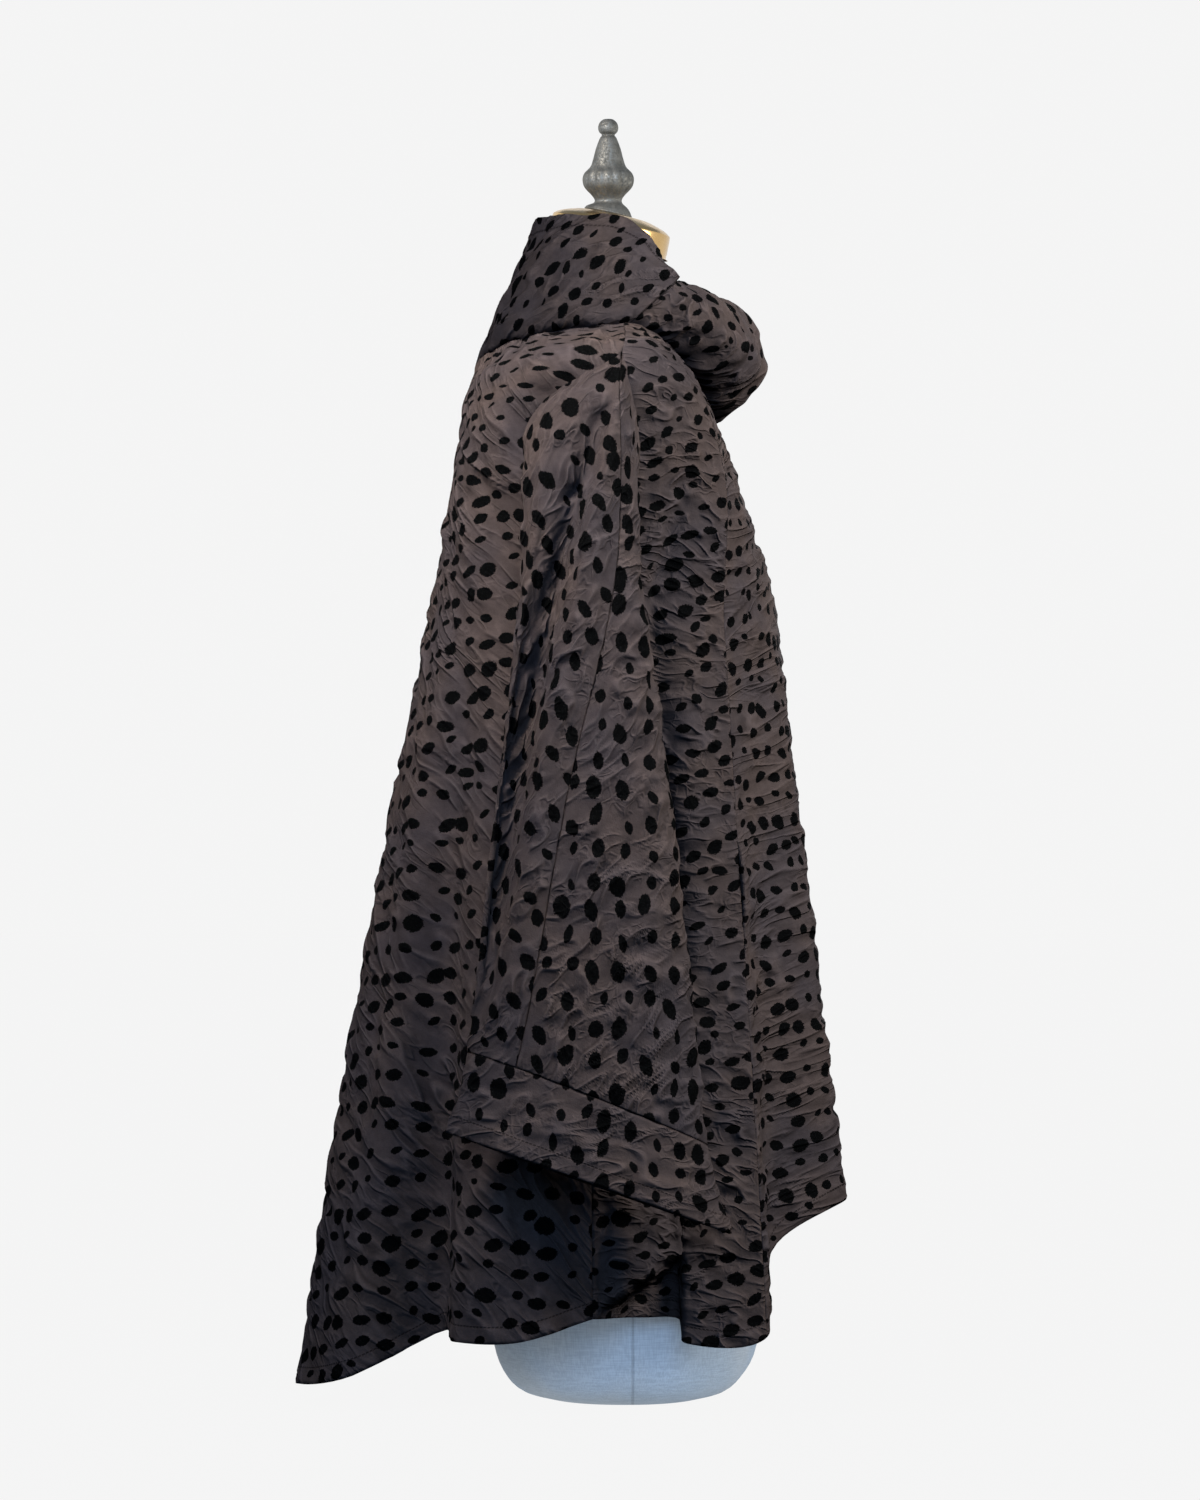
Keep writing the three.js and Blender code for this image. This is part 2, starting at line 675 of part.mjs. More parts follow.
function formFinial() {
  const capTop = capProfile.at(-1).height;
  const base = neckTop.clone().addScaledVector(neckAxis, capTop);
  base.add(new THREE.Vector3(0, Math.cos(NECK_TILT), Math.sin(NECK_TILT)).multiplyScalar(FINIAL_BACK));
  const rings = finialProfile.map(({ radius, height }) => {
    const upright = easeIn(height / FINIAL_UPRIGHT);
    const centre = base.clone().add(new THREE.Vector3(0, 0, height));
    return tiltedRing(TURNED_SIDES, centre, NECK_TILT * (1 - upright), onCircle(radius));
  });
  return named("form_finial", loft(rings), "pewter");
}

// --- the whole part ------------------------------------------------------------------------

const sewn = {
  ...frontPanels(),
  ...backPanel(),
  ...collarPieces(),
  ...sleevePieces("right", -1),
  ...sleevePieces("left", 1),
};
sewTogether(Object.values(sewn));
const pockets = { ...pocketPieces("right", -1), ...pocketPieces("left", 1) };

const poncho = new THREE.Group();
for (const [name, grid] of Object.entries({ ...sewn, ...pockets }))
  poncho.add(clothWall(name, grid));

const dressForm = new THREE.Group();
dressForm.add(formTorso(), formCap(), formFinial());

const part = new THREE.Group();
part.add(poncho, dressForm);
export default part;
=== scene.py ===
"""A knit poncho with a cowl collar and wide hanging sleeves, on a limbless dress form.

Metres, +Z up; the front faces -Y and the wearer's right is -X. Each piece of cloth is a thin shell on the
surface of its CAD solid, with its creases, puckers, seams and hems. The tables are in millimetres and give
one half, as distances from the middle plane.
"""
import json
import math

import bpy
import numpy as np
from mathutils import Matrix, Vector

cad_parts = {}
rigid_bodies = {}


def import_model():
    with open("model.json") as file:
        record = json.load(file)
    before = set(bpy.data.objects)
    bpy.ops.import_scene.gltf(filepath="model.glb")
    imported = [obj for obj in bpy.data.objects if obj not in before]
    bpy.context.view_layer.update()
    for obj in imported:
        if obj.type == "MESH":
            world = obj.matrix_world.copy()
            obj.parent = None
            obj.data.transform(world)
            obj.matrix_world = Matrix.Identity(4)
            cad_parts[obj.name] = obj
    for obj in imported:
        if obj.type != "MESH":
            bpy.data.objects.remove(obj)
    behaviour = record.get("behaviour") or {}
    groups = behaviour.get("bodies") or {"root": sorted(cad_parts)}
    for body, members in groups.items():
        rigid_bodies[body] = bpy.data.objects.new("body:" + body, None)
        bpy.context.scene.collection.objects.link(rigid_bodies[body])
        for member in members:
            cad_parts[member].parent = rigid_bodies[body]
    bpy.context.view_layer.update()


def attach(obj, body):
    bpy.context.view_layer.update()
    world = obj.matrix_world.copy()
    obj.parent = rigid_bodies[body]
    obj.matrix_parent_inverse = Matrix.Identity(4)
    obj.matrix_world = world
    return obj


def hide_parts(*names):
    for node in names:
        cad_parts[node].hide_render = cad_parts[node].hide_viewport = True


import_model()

MM = 0.001
FINE, PLAIN = 2.1, 4.4  # spacing of the cloth's mesh on the right half and on the left
INNER_STEP = 4  # the inner face has every fourth row and column
INNER_GAP = 0.4  # by which the inner face clears the troughs of the outer one
CLOTH = 1.7  # thickness of the shell
FACE = 0.9  # how far the outer face lies outside the surface of the tables

# --- the cut and the hang of the poncho ---

NECK, SHOULDER, ARMHOLE, UNDERARM, HEM = 0.0, 0.11, 0.24, 0.375, 1.0
SEAM_EASE = 0.3  # how far from the side seam front and back are drawn together
RIDGE = 0.5  # the seam between the front's side and centre panels
POCKET_TOP, POCKET_END = 0.57, 0.67
POCKET_GAPE, POCKET_LIFT, POCKET_DEPTH = 3, 2.5, 6
BACK_BOW, FRONT_BOW = 9, -3  # how far they curve out between underarm and hem


def table(columns, *rows):
    """Rows with named columns."""
    names = columns.split()
    return [dict(zip(names, row)) for row in rows]


FRONT_STAGES = table(
    "at side middle power",
    (NECK, (112, 0, 858), (0, -58, 776), 2),
    (SHOULDER, (192, 2, 832), (0, -80, 736), 2.2),
    (ARMHOLE, (186, -8, 740), (0, -104, 688), 2.2),
    (UNDERARM, (181, 30, 612), (0, -121, 636), 2),
)
BACK_STAGES = table(
    "at side middle power",
    (NECK, (112, 0, 858), (0, 118, 824), 2),
    (SHOULDER, (192, 2, 832), (0, 128, 792), 2.4),
    (ARMHOLE, (172, 77, 768), (0, 139, 716), 2.4),
    (UNDERARM, (181, 30, 612), (0, 154, 640), 2.4),
)
FRONT_FOLDS = table(
    "line across hem",
    ("side seam", 0, (222, 26, 75)),
    ("rising hem", 0.11, (204, -12, 74)),
    ("hollow", 0.22, (178, -43, 72)),
    ("drop fold, back", 0.34, (198, -50, 54)),
    ("drop fold, ridge", RIDGE, (182, -110, 58)),
    ("front valley", 0.64, (142, -116, 124)),
    ("front lobe", 0.8, (92, -174, 160)),
    ("centre front", 1, (0, -160, 151)),
)
BACK_FOLDS = table(
    "line across hem",
    ("side seam", 0, (222, 26, 75)),
    ("side panel", 0.18, (238, 82, 58)),
    ("side panel, back", 0.36, (218, 132, 57)),
    ("back valley", 0.5, (164, 143, 62)),
    ("back lobe, side", 0.64, (180, 214, 28)),
    ("back lobe", 0.82, (98, 259, 15)),
    ("centre back", 1, (0, 240, 19)),
)
COLLAR_STAGES = ("low", "mid", "high", "crest", "rim")
COLLAR_COLUMNS = "across " + " ".join(COLLAR_STAGES)
COLLAR_SIDE = (0, (120, -10, 864), (115, -24, 877), (103, -36, 888), (88, -44, 897), (74, -38, 893))
COLLAR_FRONT = table(
    COLLAR_COLUMNS,
    COLLAR_SIDE,
    (0.25, (109, -36, 854), (111, -60, 864), (99, -62, 882), (77, -54, 892), (58, -34, 886)),
    (0.5, (82, -66, 822), (90, -92, 840), (80, -84, 868), (60, -64, 886), (38, -34, 872)),
    (1, (0, -86, 792), (0, -113, 826), (0, -104, 864), (0, -82, 882), (0, -48, 868)),
)
COLLAR_BACK = table(
    COLLAR_COLUMNS,
    COLLAR_SIDE,
    (0.12, (122, 14, 864), (112, 10, 887), (94, 2, 914), (80, -6, 931), (71, -10, 940)),
    (0.3, (116, 50, 862), (104, 48, 890), (86, 42, 921), (72, 36, 938), (64, 33, 948)),
    (0.65, (80, 99, 848), (72, 91, 878), (58, 79, 911), (48, 70, 934), (43, 66, 947)),
    (1, (0, 116, 839), (0, 102, 872), (0, 88, 902), (0, 76, 928), (0, 70, 946)),
)
SLEEVE_SECTIONS = table(
    "at back out front in",
    (0.08, (196, 79, 738), (214, 7, 804), (207, -9, 722), (205, 31, 608)),
    (0.25, (208, 80, 652), (233, 20, 700), (219, -12, 642), (213, 32, 552)),
    (0.55, (227, 98, 482), (256, 28, 510), (236, -37, 468), (225, 32, 424)),
    (0.83, (243, 122, 284), (275, 30, 253), (248, -64, 212), (238, 30, 244)),
    (1, (250, 137, 222), (287, 26, 185), (255, -82, 144), (245, 26, 181)),
)
RING_TURNS = {"back": 1.0, "out": 0.25, "front": 0.5, "in": 0.75}  # where each lies round the armhole
CUFF_SEAM = 0.83
ARMHOLE_EASE = 0.3  # how far down the sleeve takes up the armhole's shape
OVERARM_AT_SHOULDER, OVERARM_AT_HEM, UNDERARM_SEAM, HALF_TURN = 0.25, 0.113, 0.75, 0.5
OVERARM_SWING, SWING_AT = 0.11, 0.25
SLEEVE_VALLEY = {"from": 0.1, "to": 0.8, "start": 0.225, "end": 0.05, "width": 0.042, "depth": 15}
VALLEY_FOLDS = table(  # places and widths in the valley's widths, heights to its depth
    "fold at rear front height",
    ("valley", 0, 1.1, 0.5, -1.2),
    ("crest in front of it", 1.15, 0.4, 1.2, 0.75),
    ("crest behind it", -2.6, 0.7, 0.7, 0.5),
)


def ease(t):
    t = np.clip(t, 0, 1)
    return t * t * (3 - 2 * t)


def portion(value, start, end):
    """How far a value has come from start to end, between 0 and 1."""
    return np.clip((value - start) / (end - start), 0, 1)


def through(knots, points, t, mirrored=False):
    """A smooth curve through knots of uneven spacing. A mirrored one crosses the middle plane at its end."""
    t = np.asarray(t, float)
    knots = np.asarray(knots, float)
    points = np.stack([np.broadcast_to(np.asarray(p, float), t.shape + (3,)) for p in points])
    last = len(knots) - 1
    low = np.maximum(np.arange(last + 1) - 1, 0)
    high = np.minimum(np.arange(last + 1) + 1, last)
    spread = (knots[high] - knots[low]).reshape((-1,) + (1,) * (points.ndim - 1))
    slopes = (points[high] - points[low]) / spread
    if mirrored:
        slopes[last, ..., 1:] = 0
    k = np.searchsorted(knots[1:-1], t, side="left")
    span = (knots[k + 1] - knots[k])[..., None]
    f = (t - knots[k])[..., None] / span

    def at(values, index):
        return np.take_along_axis(values, index[None, ..., None], axis=0)[0]

    ends = at(points, k) * (1 + 2 * f) * (1 - f) ** 2 + at(points, k + 1) * f * f * (3 - 2 * f)
    return ends + span * (at(slopes, k) * f * (1 - f) ** 2 + at(slopes, k + 1) * f * f * (f - 1))


def quarter(stage, across):
    """A quarter of a rounded ring, from the side to the middle of the front or back."""
    angle = across * np.pi / 2
    side, middle = np.array(stage["side"], float), np.array(stage["middle"], float)
    out = np.maximum(0, np.cos(angle)) ** (2 / stage["power"])
    along = np.maximum(0, np.sin(angle)) ** (2 / stage["power"])
    return np.stack([
        side[0] * out,
        side[1] + (middle[1] - side[1]) * along,
        side[2] + (middle[2] - side[2]) * (1 - np.cos(angle)),
    ], axis=-1)


def body_point(half, across, down):
    stages, folds, bow = half
    hem = through([f["across"] for f in folds], [f["hem"] for f in folds], across, mirrored=True)
    knots = [stage["at"] for stage in stages] + [HEM]
    point = through(knots, [quarter(stage, across) for stage in stages] + [hem], down)
    hung = portion(down, UNDERARM, HEM)
    point[..., 1] += bow * across * 4 * hung * (1 - hung)
    return point


def sewn_point(own, other, across, down):
    """Front and back meet halfway along the shoulder and side seams, and part at the armhole."""
    point = body_point(own, across, down)
    edge = body_point(own, np.zeros_like(across), down)
    facing = body_point(other, np.zeros_like(across), down)
    fade = (1 - across / SEAM_EASE) ** 2 / 2
    sewn = ((down <= SHOULDER) | (down >= UNDERARM)) & (across < SEAM_EASE)
    return point + (facing - edge) * np.where(sewn, fade, 0)[..., None]


FRONT_HALF = (FRONT_STAGES, FRONT_FOLDS, FRONT_BOW)
BACK_HALF = (BACK_STAGES, BACK_FOLDS, BACK_BOW)


def front_point(across, down):
    return sewn_point(FRONT_HALF, BACK_HALF, across, down)


def back_point(across, down):
    return sewn_point(BACK_HALF, FRONT_HALF, across, down)


def collar_point(base, stations, across, up):
    places = [station["across"] for station in stations]
    stages = [through(places, [s[name] for s in stations], across, mirrored=True) for name in COLLAR_STAGES]
    knots = [k / len(stages) for k in range(len(stages) + 1)]
    return through(knots, [base] + stages, up)


def armhole_point(turn):
    """The armhole's edge, from 0.25 at the shoulder down the front to 0.75, and up the back to 1.25."""
    share = np.abs(turn - UNDERARM_SEAM) / HALF_TURN
    lower = UNDERARM + (ARMHOLE - UNDERARM) * 2 * share
    upper = ARMHOLE + (SHOULDER - ARMHOLE) * (2 * share - 1)
    down = np.where(share < 0.5, lower, upper)
    edge = np.zeros_like(down)
    in_front = (turn <= UNDERARM_SEAM)[..., None]
    return np.where(in_front, front_point(edge, down), back_point(edge, down))


SECTIONS = [{"at": 0, **{name: armhole_point(np.array(turn)) for name, turn in RING_TURNS.items()}}]
SECTIONS += SLEEVE_SECTIONS


def sleeve_ring(down, turn):
    """A flattened ring round the sleeve, with fold edges at back (0) and front (0.5)."""
    places = [section["at"] for section in SECTIONS]

    def edge(name):
        return through(places, [s[name] for s in SECTIONS], down)

    back, front = edge("back"), edge("front")
    turned = turn % 1
    face = np.where((turned < HALF_TURN)[..., None], edge("out"), edge("in"))
    chord = front - back
    share = ((face - back) * chord).sum(-1) / (chord ** 2).sum(-1)
    middle = back + chord * share[..., None]
    angle = (turned * 2 * np.pi)[..., None]
    fold = np.where(np.cos(angle) > 0, back, front) - middle
    return middle + fold * np.abs(np.cos(angle)) + (face - middle) * np.abs(np.sin(angle))


def sleeve_point(down, turn):
    """The sleeve, eased into the armhole, with a long valley between two crests behind its outer side."""
    point = sleeve_ring(down, turn)
    on_edge = (turn - OVERARM_AT_SHOULDER) % 1 + OVERARM_AT_SHOULDER
    slip = armhole_point(on_edge) - sleeve_ring(np.zeros_like(down), turn)
    point += slip * ((1 - np.clip(down / ARMHOLE_EASE, 0, 1)) ** 2)[..., None]
    v = SLEEVE_VALLEY
    share = (down - v["from"]) / (v["to"] - v["from"])
    offset = (turn - v["start"] - (v["end"] - v["start"]) * share + HALF_TURN) % 1 - HALF_TURN
    depth = v["depth"] * np.sin(np.pi * np.clip(share, 0, 1)) ** 0.5
    for fold in VALLEY_FOLDS:
        off = offset / v["width"] - fold["at"]
        width = np.where(off > 0, fold["front"], fold["rear"])
        point[..., 0] += fold["height"] * depth * np.exp(-((off / width) ** 2))
    return point


def overarm(down):
    """The place of the overarm seam, which swings to the front before it falls back."""
    swing = (down / SWING_AT) ** 2 * np.exp(2 - 2 * down / SWING_AT)
    return OVERARM_AT_SHOULDER + (OVERARM_AT_HEM - OVERARM_AT_SHOULDER) * down + OVERARM_SWING * swing


# --- noise in the cloth's own sizes ---

NOISE_SIZE, NOISE_GAIN = 256, 1.5
MIDDLE_BEND, SIDEWAYS = 30, 0.3  # how near the middle creases turn, and how far they keep to the side
BENDS = ((13, 75, 60), (2.6, 20, 20))  # how far the small ridges wander, over what length and breadth
STANDING, BREAKING = 0.7, 1.7  # how much of each ridge stands up, and how sharply it begins and ends


def noise(x, y, seed):
    """Smooth noise between about -1 and 1, with one bump to a unit."""
    draws = np.random.default_rng(seed)
    order = draws.permutation(NOISE_SIZE)
    angles = draws.uniform(0, 2 * np.pi, NOISE_SIZE)
    x0, y0 = np.floor(x).astype(int), np.floor(y).astype(int)
    fx, fy = x - x0, y - y0

    def corner(i, j):
        angle = angles[order[(order[(x0 + i) % NOISE_SIZE] + y0 + j) % NOISE_SIZE]]
        return np.cos(angle) * (fx - i) + np.sin(angle) * (fy - j)

    sx, sy = [f ** 3 * (f * (f * 6 - 15) + 10) for f in (fx, fy)]
    top = corner(0, 0) * (1 - sx) + corner(1, 0) * sx
    bottom = corner(0, 1) * (1 - sx) + corner(1, 1) * sx
    return (top * (1 - sy) + bottom * sy) * NOISE_GAIN


def crinkle_lines(x, y, rise, middle):
    """Coordinates along and across the creases of the flat cloth, which rise, in degrees, to its right, or
    away from its middle where it has one."""
    spread = np.sqrt(x * x + MIDDLE_BEND ** 2) if middle else x
    angle = np.radians(rise)
    along = x * SIDEWAYS + spread * np.cos(angle) * (1 - SIDEWAYS) - y * np.sin(angle)
    return along, spread * np.sin(angle) + y * np.cos(angle)


def wrinkles(along, cross, length, spacing, seed):
    """Signed noise, long along the creases; each small ridge of the cloth runs where it crosses 0."""
    bend = sum(reach * noise(along / long, cross / broad, seed + 1 + k)
               for k, (reach, long, broad) in enumerate(BENDS))
    return noise(along / length, (cross + bend) / spacing, seed)


def broken(along, cross, length, spacing, seed):
    """1 where a ridge stands up and 0 where it has died away, in patches a little longer than wide."""
    return ease(STANDING + BREAKING * noise(along / length, cross / spacing, seed))


# --- shells of cloth ---

CREASE_BOW, BOW_CHANGE = 0.06, 40  # the most that a crease bows, to its length, and how the bow varies


def run_lengths(points, axis):
    """Distance along each row or column of a grid, from its start."""
    steps = np.linalg.norm(np.diff(points, axis=axis), axis=-1)
    pad = [(0, 0), (0, 0)]
    pad[axis] = (1, 0)
    return np.pad(np.cumsum(steps, axis=axis), pad)


def grid_normals(points, outward):
    normal = np.cross(np.gradient(points, axis=1), np.gradient(points, axis=0))
    return outward * normal / np.maximum(np.linalg.norm(normal, axis=-1, keepdims=True), 1e-9)


def lookup(values, columns, rows, across, down):
    """A grid's value at the vertex nearest to a place."""
    i = np.interp(across, columns, np.arange(len(columns)))
    j = np.interp(down, rows, np.arange(len(rows)))
    return values[int(round(j)), int(round(i))]


def crease_depth(creases, u, v, columns, rows):
    """Troughs, or ridges where the depth is negative, that fade towards both ends."""
    depth = np.zeros_like(u)
    for across_0, down_0, across_1, down_1, width, deep in creases:
        start, end = (np.array([lookup(g, columns, rows, *place) for g in (u, v)])
                      for place in ((across_0, down_0), (across_1, down_1)))
        run = end - start
        length = np.linalg.norm(run)
        unit = run / length
        du, dv = u - start[0], v - start[1]
        share = (du * unit[0] + dv * unit[1]) / length
        bow = CREASE_BOW * length * np.sin(across_0 * BOW_CHANGE)
        inside = np.clip(share, 0, 1)
        off = dv * unit[0] - du * unit[1] - bow * 4 * inside * (1 - inside)
        fade = np.where((share > 0) & (share < 1), np.sin(np.pi * inside) ** 0.6, 0)
        depth += deep * fade * np.exp(-((off / width) ** 2))
    return depth


def coarse(count):
    """Every so many of a row of vertices, and its last one."""
    return np.unique(np.append(np.arange(0, count, INNER_STEP), count - 1))


def rim(outer, inner):
    """Faces that join an edge of the outer face to the coarser edge of the inner one."""
    picks = coarse(len(outer))
    return [np.concatenate([outer[a:b + 1], inner[k:k + 2][::-1]])
            for k, (a, b) in enumerate(zip(picks[:-1], picks[1:]))]


def placed(name, data):
    """A new object in the scene."""
    obj = bpy.data.objects.new(name, data)
    bpy.context.scene.collection.objects.link(obj)
    return obj


def skin(name, points, faces):
    """A smooth mesh over points in millimetres."""
    mesh = bpy.data.meshes.new(name)
    mesh.from_pydata((points * MM).tolist(), [], faces)
    mesh.shade_smooth()
    return placed(name, mesh)


def shell(name, outer, inner, attributes, flip):
    """A closed shell between two grids of points in millimetres; the inner one is used coarsely."""
    rows, columns = outer.shape[:2]
    index = np.arange(rows * columns).reshape(rows, columns)
    picks = index[np.ix_(coarse(rows), coarse(columns))]
    inside = rows * columns + np.arange(picks.size).reshape(picks.shape)
    source = np.concatenate([index.ravel(), picks.ravel()])
    points = np.concatenate([outer.reshape(-1, 3), inner.reshape(-1, 3)[picks.ravel()]])

    def quads(grid):
        return np.stack([grid[:-1, :-1], grid[1:, :-1], grid[1:, 1:], grid[:-1, 1:]], axis=-1).reshape(-1, 4)

    rims = (rim(index[0], inside[0]) + rim(index[::-1, 0], inside[::-1, 0])
            + rim(index[-1, ::-1], inside[-1, ::-1]) + rim(index[:, -1], inside[:, -1]))
    faces = list(quads(index)) + [face[::-1] for face in quads(inside)] + rims
    if flip:
        faces = [face[::-1] for face in faces]
    obj = skin(name, points, [face.tolist() for face in faces])
    mesh = obj.data
    uv = attributes.pop("uv").reshape(-1, 2)[source]
    layer = mesh.uv_layers.new(name="cloth")
    layer.data.foreach_set("uv", (uv[np.concatenate(faces)] * MM).astype(np.float32).ravel())
    for key, values in attributes.items():
        made = mesh.attributes.new(key, "FLOAT_VECTOR", "POINT")
        made.data.foreach_set("vector", (values.reshape(-1, 3)[source] * MM).astype(np.float32).ravel())
    return obj


FLAT_LEVELS, FLAT_STEPS, FLAT_PACE = (6, 12, 24, 48), 160, 1.5  # cells each way, and the passes at each


def resampled(grid, places):
    """A grid's values at fractional rows and columns."""
    for axis, at in enumerate(places):
        low = np.minimum(np.floor(at).astype(int), grid.shape[axis] - 2)
        share = (at - low).reshape((-1, 1, 1) if axis == 0 else (1, -1, 1))
        grid = np.take(grid, low, axis) * (1 - share) + np.take(grid, low + 1, axis) * share
    return grid


def flattened(points, u, v):
    """Lays a curved panel flat with as little stretch as it can, coarsely at first and then more finely."""
    across, down = np.gradient(points, axis=1), np.gradient(points, axis=0)
    lean = (across * down).sum(-1) / (np.linalg.norm(across, axis=-1) * np.linalg.norm(down, axis=-1) + 1e-9)
    flat = None
    for cells in FLAT_LEVELS:
        picks = [np.unique(np.linspace(0, n - 1, cells + 1).round().astype(int)) for n in u.shape]
        some = np.ix_(*picks)
        if flat is None:
            flat = np.stack([u[some], v[some]], axis=-1)
        else:
            places = [pick / (n - 1) * (m - 1) for pick, n, m in zip(picks, u.shape, flat.shape)]
            flat = resampled(flat, places)
        flat = relaxed(flat, u[some], v[some], lean[some])
    return resampled(flat, [np.linspace(0, m - 1, n) for n, m in zip(u.shape, flat.shape)])


def relaxed(flat, u, v, lean):
    wide, tall = np.diff(u, axis=1), np.diff(v, axis=0)
    a = (wide[1:] + wide[:-1]) / 2
    b = (tall[:, 1:] + tall[:, :-1]) / 2
    skew = a * b * (lean[1:, 1:] + lean[1:, :-1] + lean[:-1, 1:] + lean[:-1, :-1]) / 2
    low, high, every = slice(None, -1), slice(1, None), slice(None)
    ties = [
        ((every, low), (every, high), wide), ((low, every), (high, every), tall),
        ((low, low), (high, high), np.sqrt(a * a + b * b + skew)),
        ((low, high), (high, low), np.sqrt(a * a + b * b - skew)),
    ]
    count = np.zeros(u.shape)
    for one, two, _ in ties:
        count[one] += 1
        count[two] += 1
    for _ in range(FLAT_STEPS):
        move = np.zeros_like(flat)
        for one, two, rest in ties:
            gap = flat[two] - flat[one]
            length = np.linalg.norm(gap, axis=-1)
            pull = gap * ((length - rest) / np.maximum(length, 1e-6) / 2)[..., None]
            move[one] += pull
            move[two] -= pull
        flat = flat + FLAT_PACE * move / count[..., None]
    return flat


SEAM_WIDTH, SEAM_SINK = 3, 0.5  # the dip along a seam
BLIND_WIDTH, BLIND_LIFT = 8, 2.2  # the swell along a seam that doesn't show
HEM_DEPTH, HEM_LIFT, HEM_EDGE = 13, 0.5, 2.5  # the turned-up hem, the thickness it adds, and its soft edge
NO_EDGE = 400  # stands for the distance to an edge that a piece doesn't have
GATHER_FADE = 130  # how far below its top the extra gathering of a piece dies away
CREST, CREST_HEIGHT, SUNK = 0.6, 0.9, 0.3  # the small ridges' width to their noise, height, and common drop
SHORTER, OTHER_SPREAD, PATCH_SPREAD = 0.8, 1.7, 1.5  # ridges across and patches, to the main ridges
CALM_LEAST, CALM_SIZE = 0.6, 70  # the relief of the calmest stretches, and their size
SEAM_LEAST, SEAM_FADE = 0.25, 9  # the relief left at a seam, and how far off it is whole again
SWELL, SWELL_LONG, SWELL_WIDE = 0.55, 24, 15  # soft swells
CROSS_RIDGE = 0.12  # faint ridges across the others
APART = 37  # between the patterns of two pieces


def cloth(name, surface, columns, rows, outward, edges, rise, crinkle, seed, turned_by=0, creases=(),
          middle=None, shape=None, gather=(1, 1, 1)):
    """Makes one piece of cloth. edges says of its left, right, top and bottom whether each is a seam, blind
    (a seam that doesn't show), a hem or none; turned_by is how far, in degrees, the dots lean; crinkle is the
    length, spacing and depth of its puckers; gather is how much cloth is drawn in across it, down it, and
    down it at its top."""
    grid_across, grid_down = np.meshgrid(columns, rows)
    points = surface(grid_across, grid_down)
    if shape is not None:
        points = shape(points, grid_across, grid_down)
    normal = grid_normals(points, outward)
    u, v = run_lengths(points, 1), run_lengths(points, 0)
    distances = (u, u[:, -1:] - u, v, v[-1:] - v)
    if middle is not None:
        at_middle = int(np.argmin(np.abs(columns - middle)))
        u = u - u[:, at_middle:at_middle + 1]

    def nearest(*kinds):
        found = [distance for distance, kind in zip(distances, edges.split()) if kind in kinds]
        return np.minimum.reduce(found) if found else np.full_like(u, NO_EDGE)

    seam, hem, blind, joint = nearest("seam"), nearest("hem"), nearest("blind"), nearest("seam", "blind")

    length, spacing, depth = crinkle
    flat = flattened(points, u, v)
    along, cross = crinkle_lines(flat[..., 0], flat[..., 1], rise, middle is not None)
    main = wrinkles(along, cross, length, spacing, seed)
    other = wrinkles(cross, along, length * SHORTER, spacing * OTHER_SPREAD, seed + 40)
    present = broken(along, cross, length * SHORTER, spacing * PATCH_SPREAD, seed + 60)
    calm = CALM_LEAST + (1 - CALM_LEAST) * ease(0.5 + 1.3 * noise(u / CALM_SIZE, v / CALM_SIZE, seed + 80))
    fade = SEAM_LEAST + (1 - SEAM_LEAST) * (1 - np.exp(-((joint / SEAM_FADE) ** 2)))
    crest = present / (1 + (main / CREST) ** 2)
    swell = SWELL * noise(along / SWELL_LONG, cross / SWELL_WIDE, seed + 90) - CROSS_RIDGE * np.abs(other)
    relief = CREST_HEIGHT * crest + swell - SUNK
    trough = crease_depth(creases, u, v, columns, rows)
    height = FACE + depth * calm * fade * relief - trough
    height -= SEAM_SINK * np.exp(-((seam / SEAM_WIDTH) ** 2))
    height += BLIND_LIFT * np.exp(-((blind / BLIND_WIDTH) ** 2))
    height += HEM_LIFT * (1 - ease((hem - HEM_DEPTH + 1) / HEM_EDGE))
    inside = FACE - CLOTH - INNER_GAP - trough
    wide, tall, top = gather
    full = tall * flat[..., 1] + (top - tall) * GATHER_FADE * (1 - np.exp(-v / GATHER_FADE))
    lean = np.radians(turned_by)
    turn = np.array([[np.cos(lean), -np.sin(lean)], [np.sin(lean), np.cos(lean)]])
    drawn_in = np.stack([wide * flat[..., 0], full], axis=-1) @ turn
    obj = shell(name, points + normal * height[..., None], points + normal * inside[..., None], {
        "uv": drawn_in + APART * seed,
        "edges": np.stack([u, seam, hem], axis=-1),
        "crinkle": np.stack([along, cross, np.zeros_like(u)], axis=-1),
        "wrinkle": np.stack([main, other, calm * present], axis=-1) * (1 / MM),
    }, flip=outward > 0)
    start = points[:-1, :-1]
    cells = np.linalg.norm(np.cross(points[1:, :-1] - start, points[:-1, 1:] - start), axis=-1)
    width, long = [float(np.ptp(flat[..., k])) * MM for k in (0, 1)]
    return obj, (width, long), float(cells.sum()) * MM * MM


def spaced(start, end, count):
    return np.linspace(start, end, count + 1)


TRIAL = 24  # steps across a panel when its lengths are measured


def steps_for(surface, across, down, step):
    """How many steps a panel needs each way, so that its mesh is no coarser than the step."""
    points = surface(*np.meshgrid(spaced(*across, TRIAL), spaced(*down, 2 * TRIAL)))
    lengths = run_lengths(points, 1)[:, -1].max(), run_lengths(points, 0)[-1].max()
    return [math.ceil(length / step) for length in lengths]


def fine_grid(surface, across, down, step=PLAIN):
    columns, rows = steps_for(surface, across, down, step)
    return spaced(*across, columns), spaced(*down, rows)


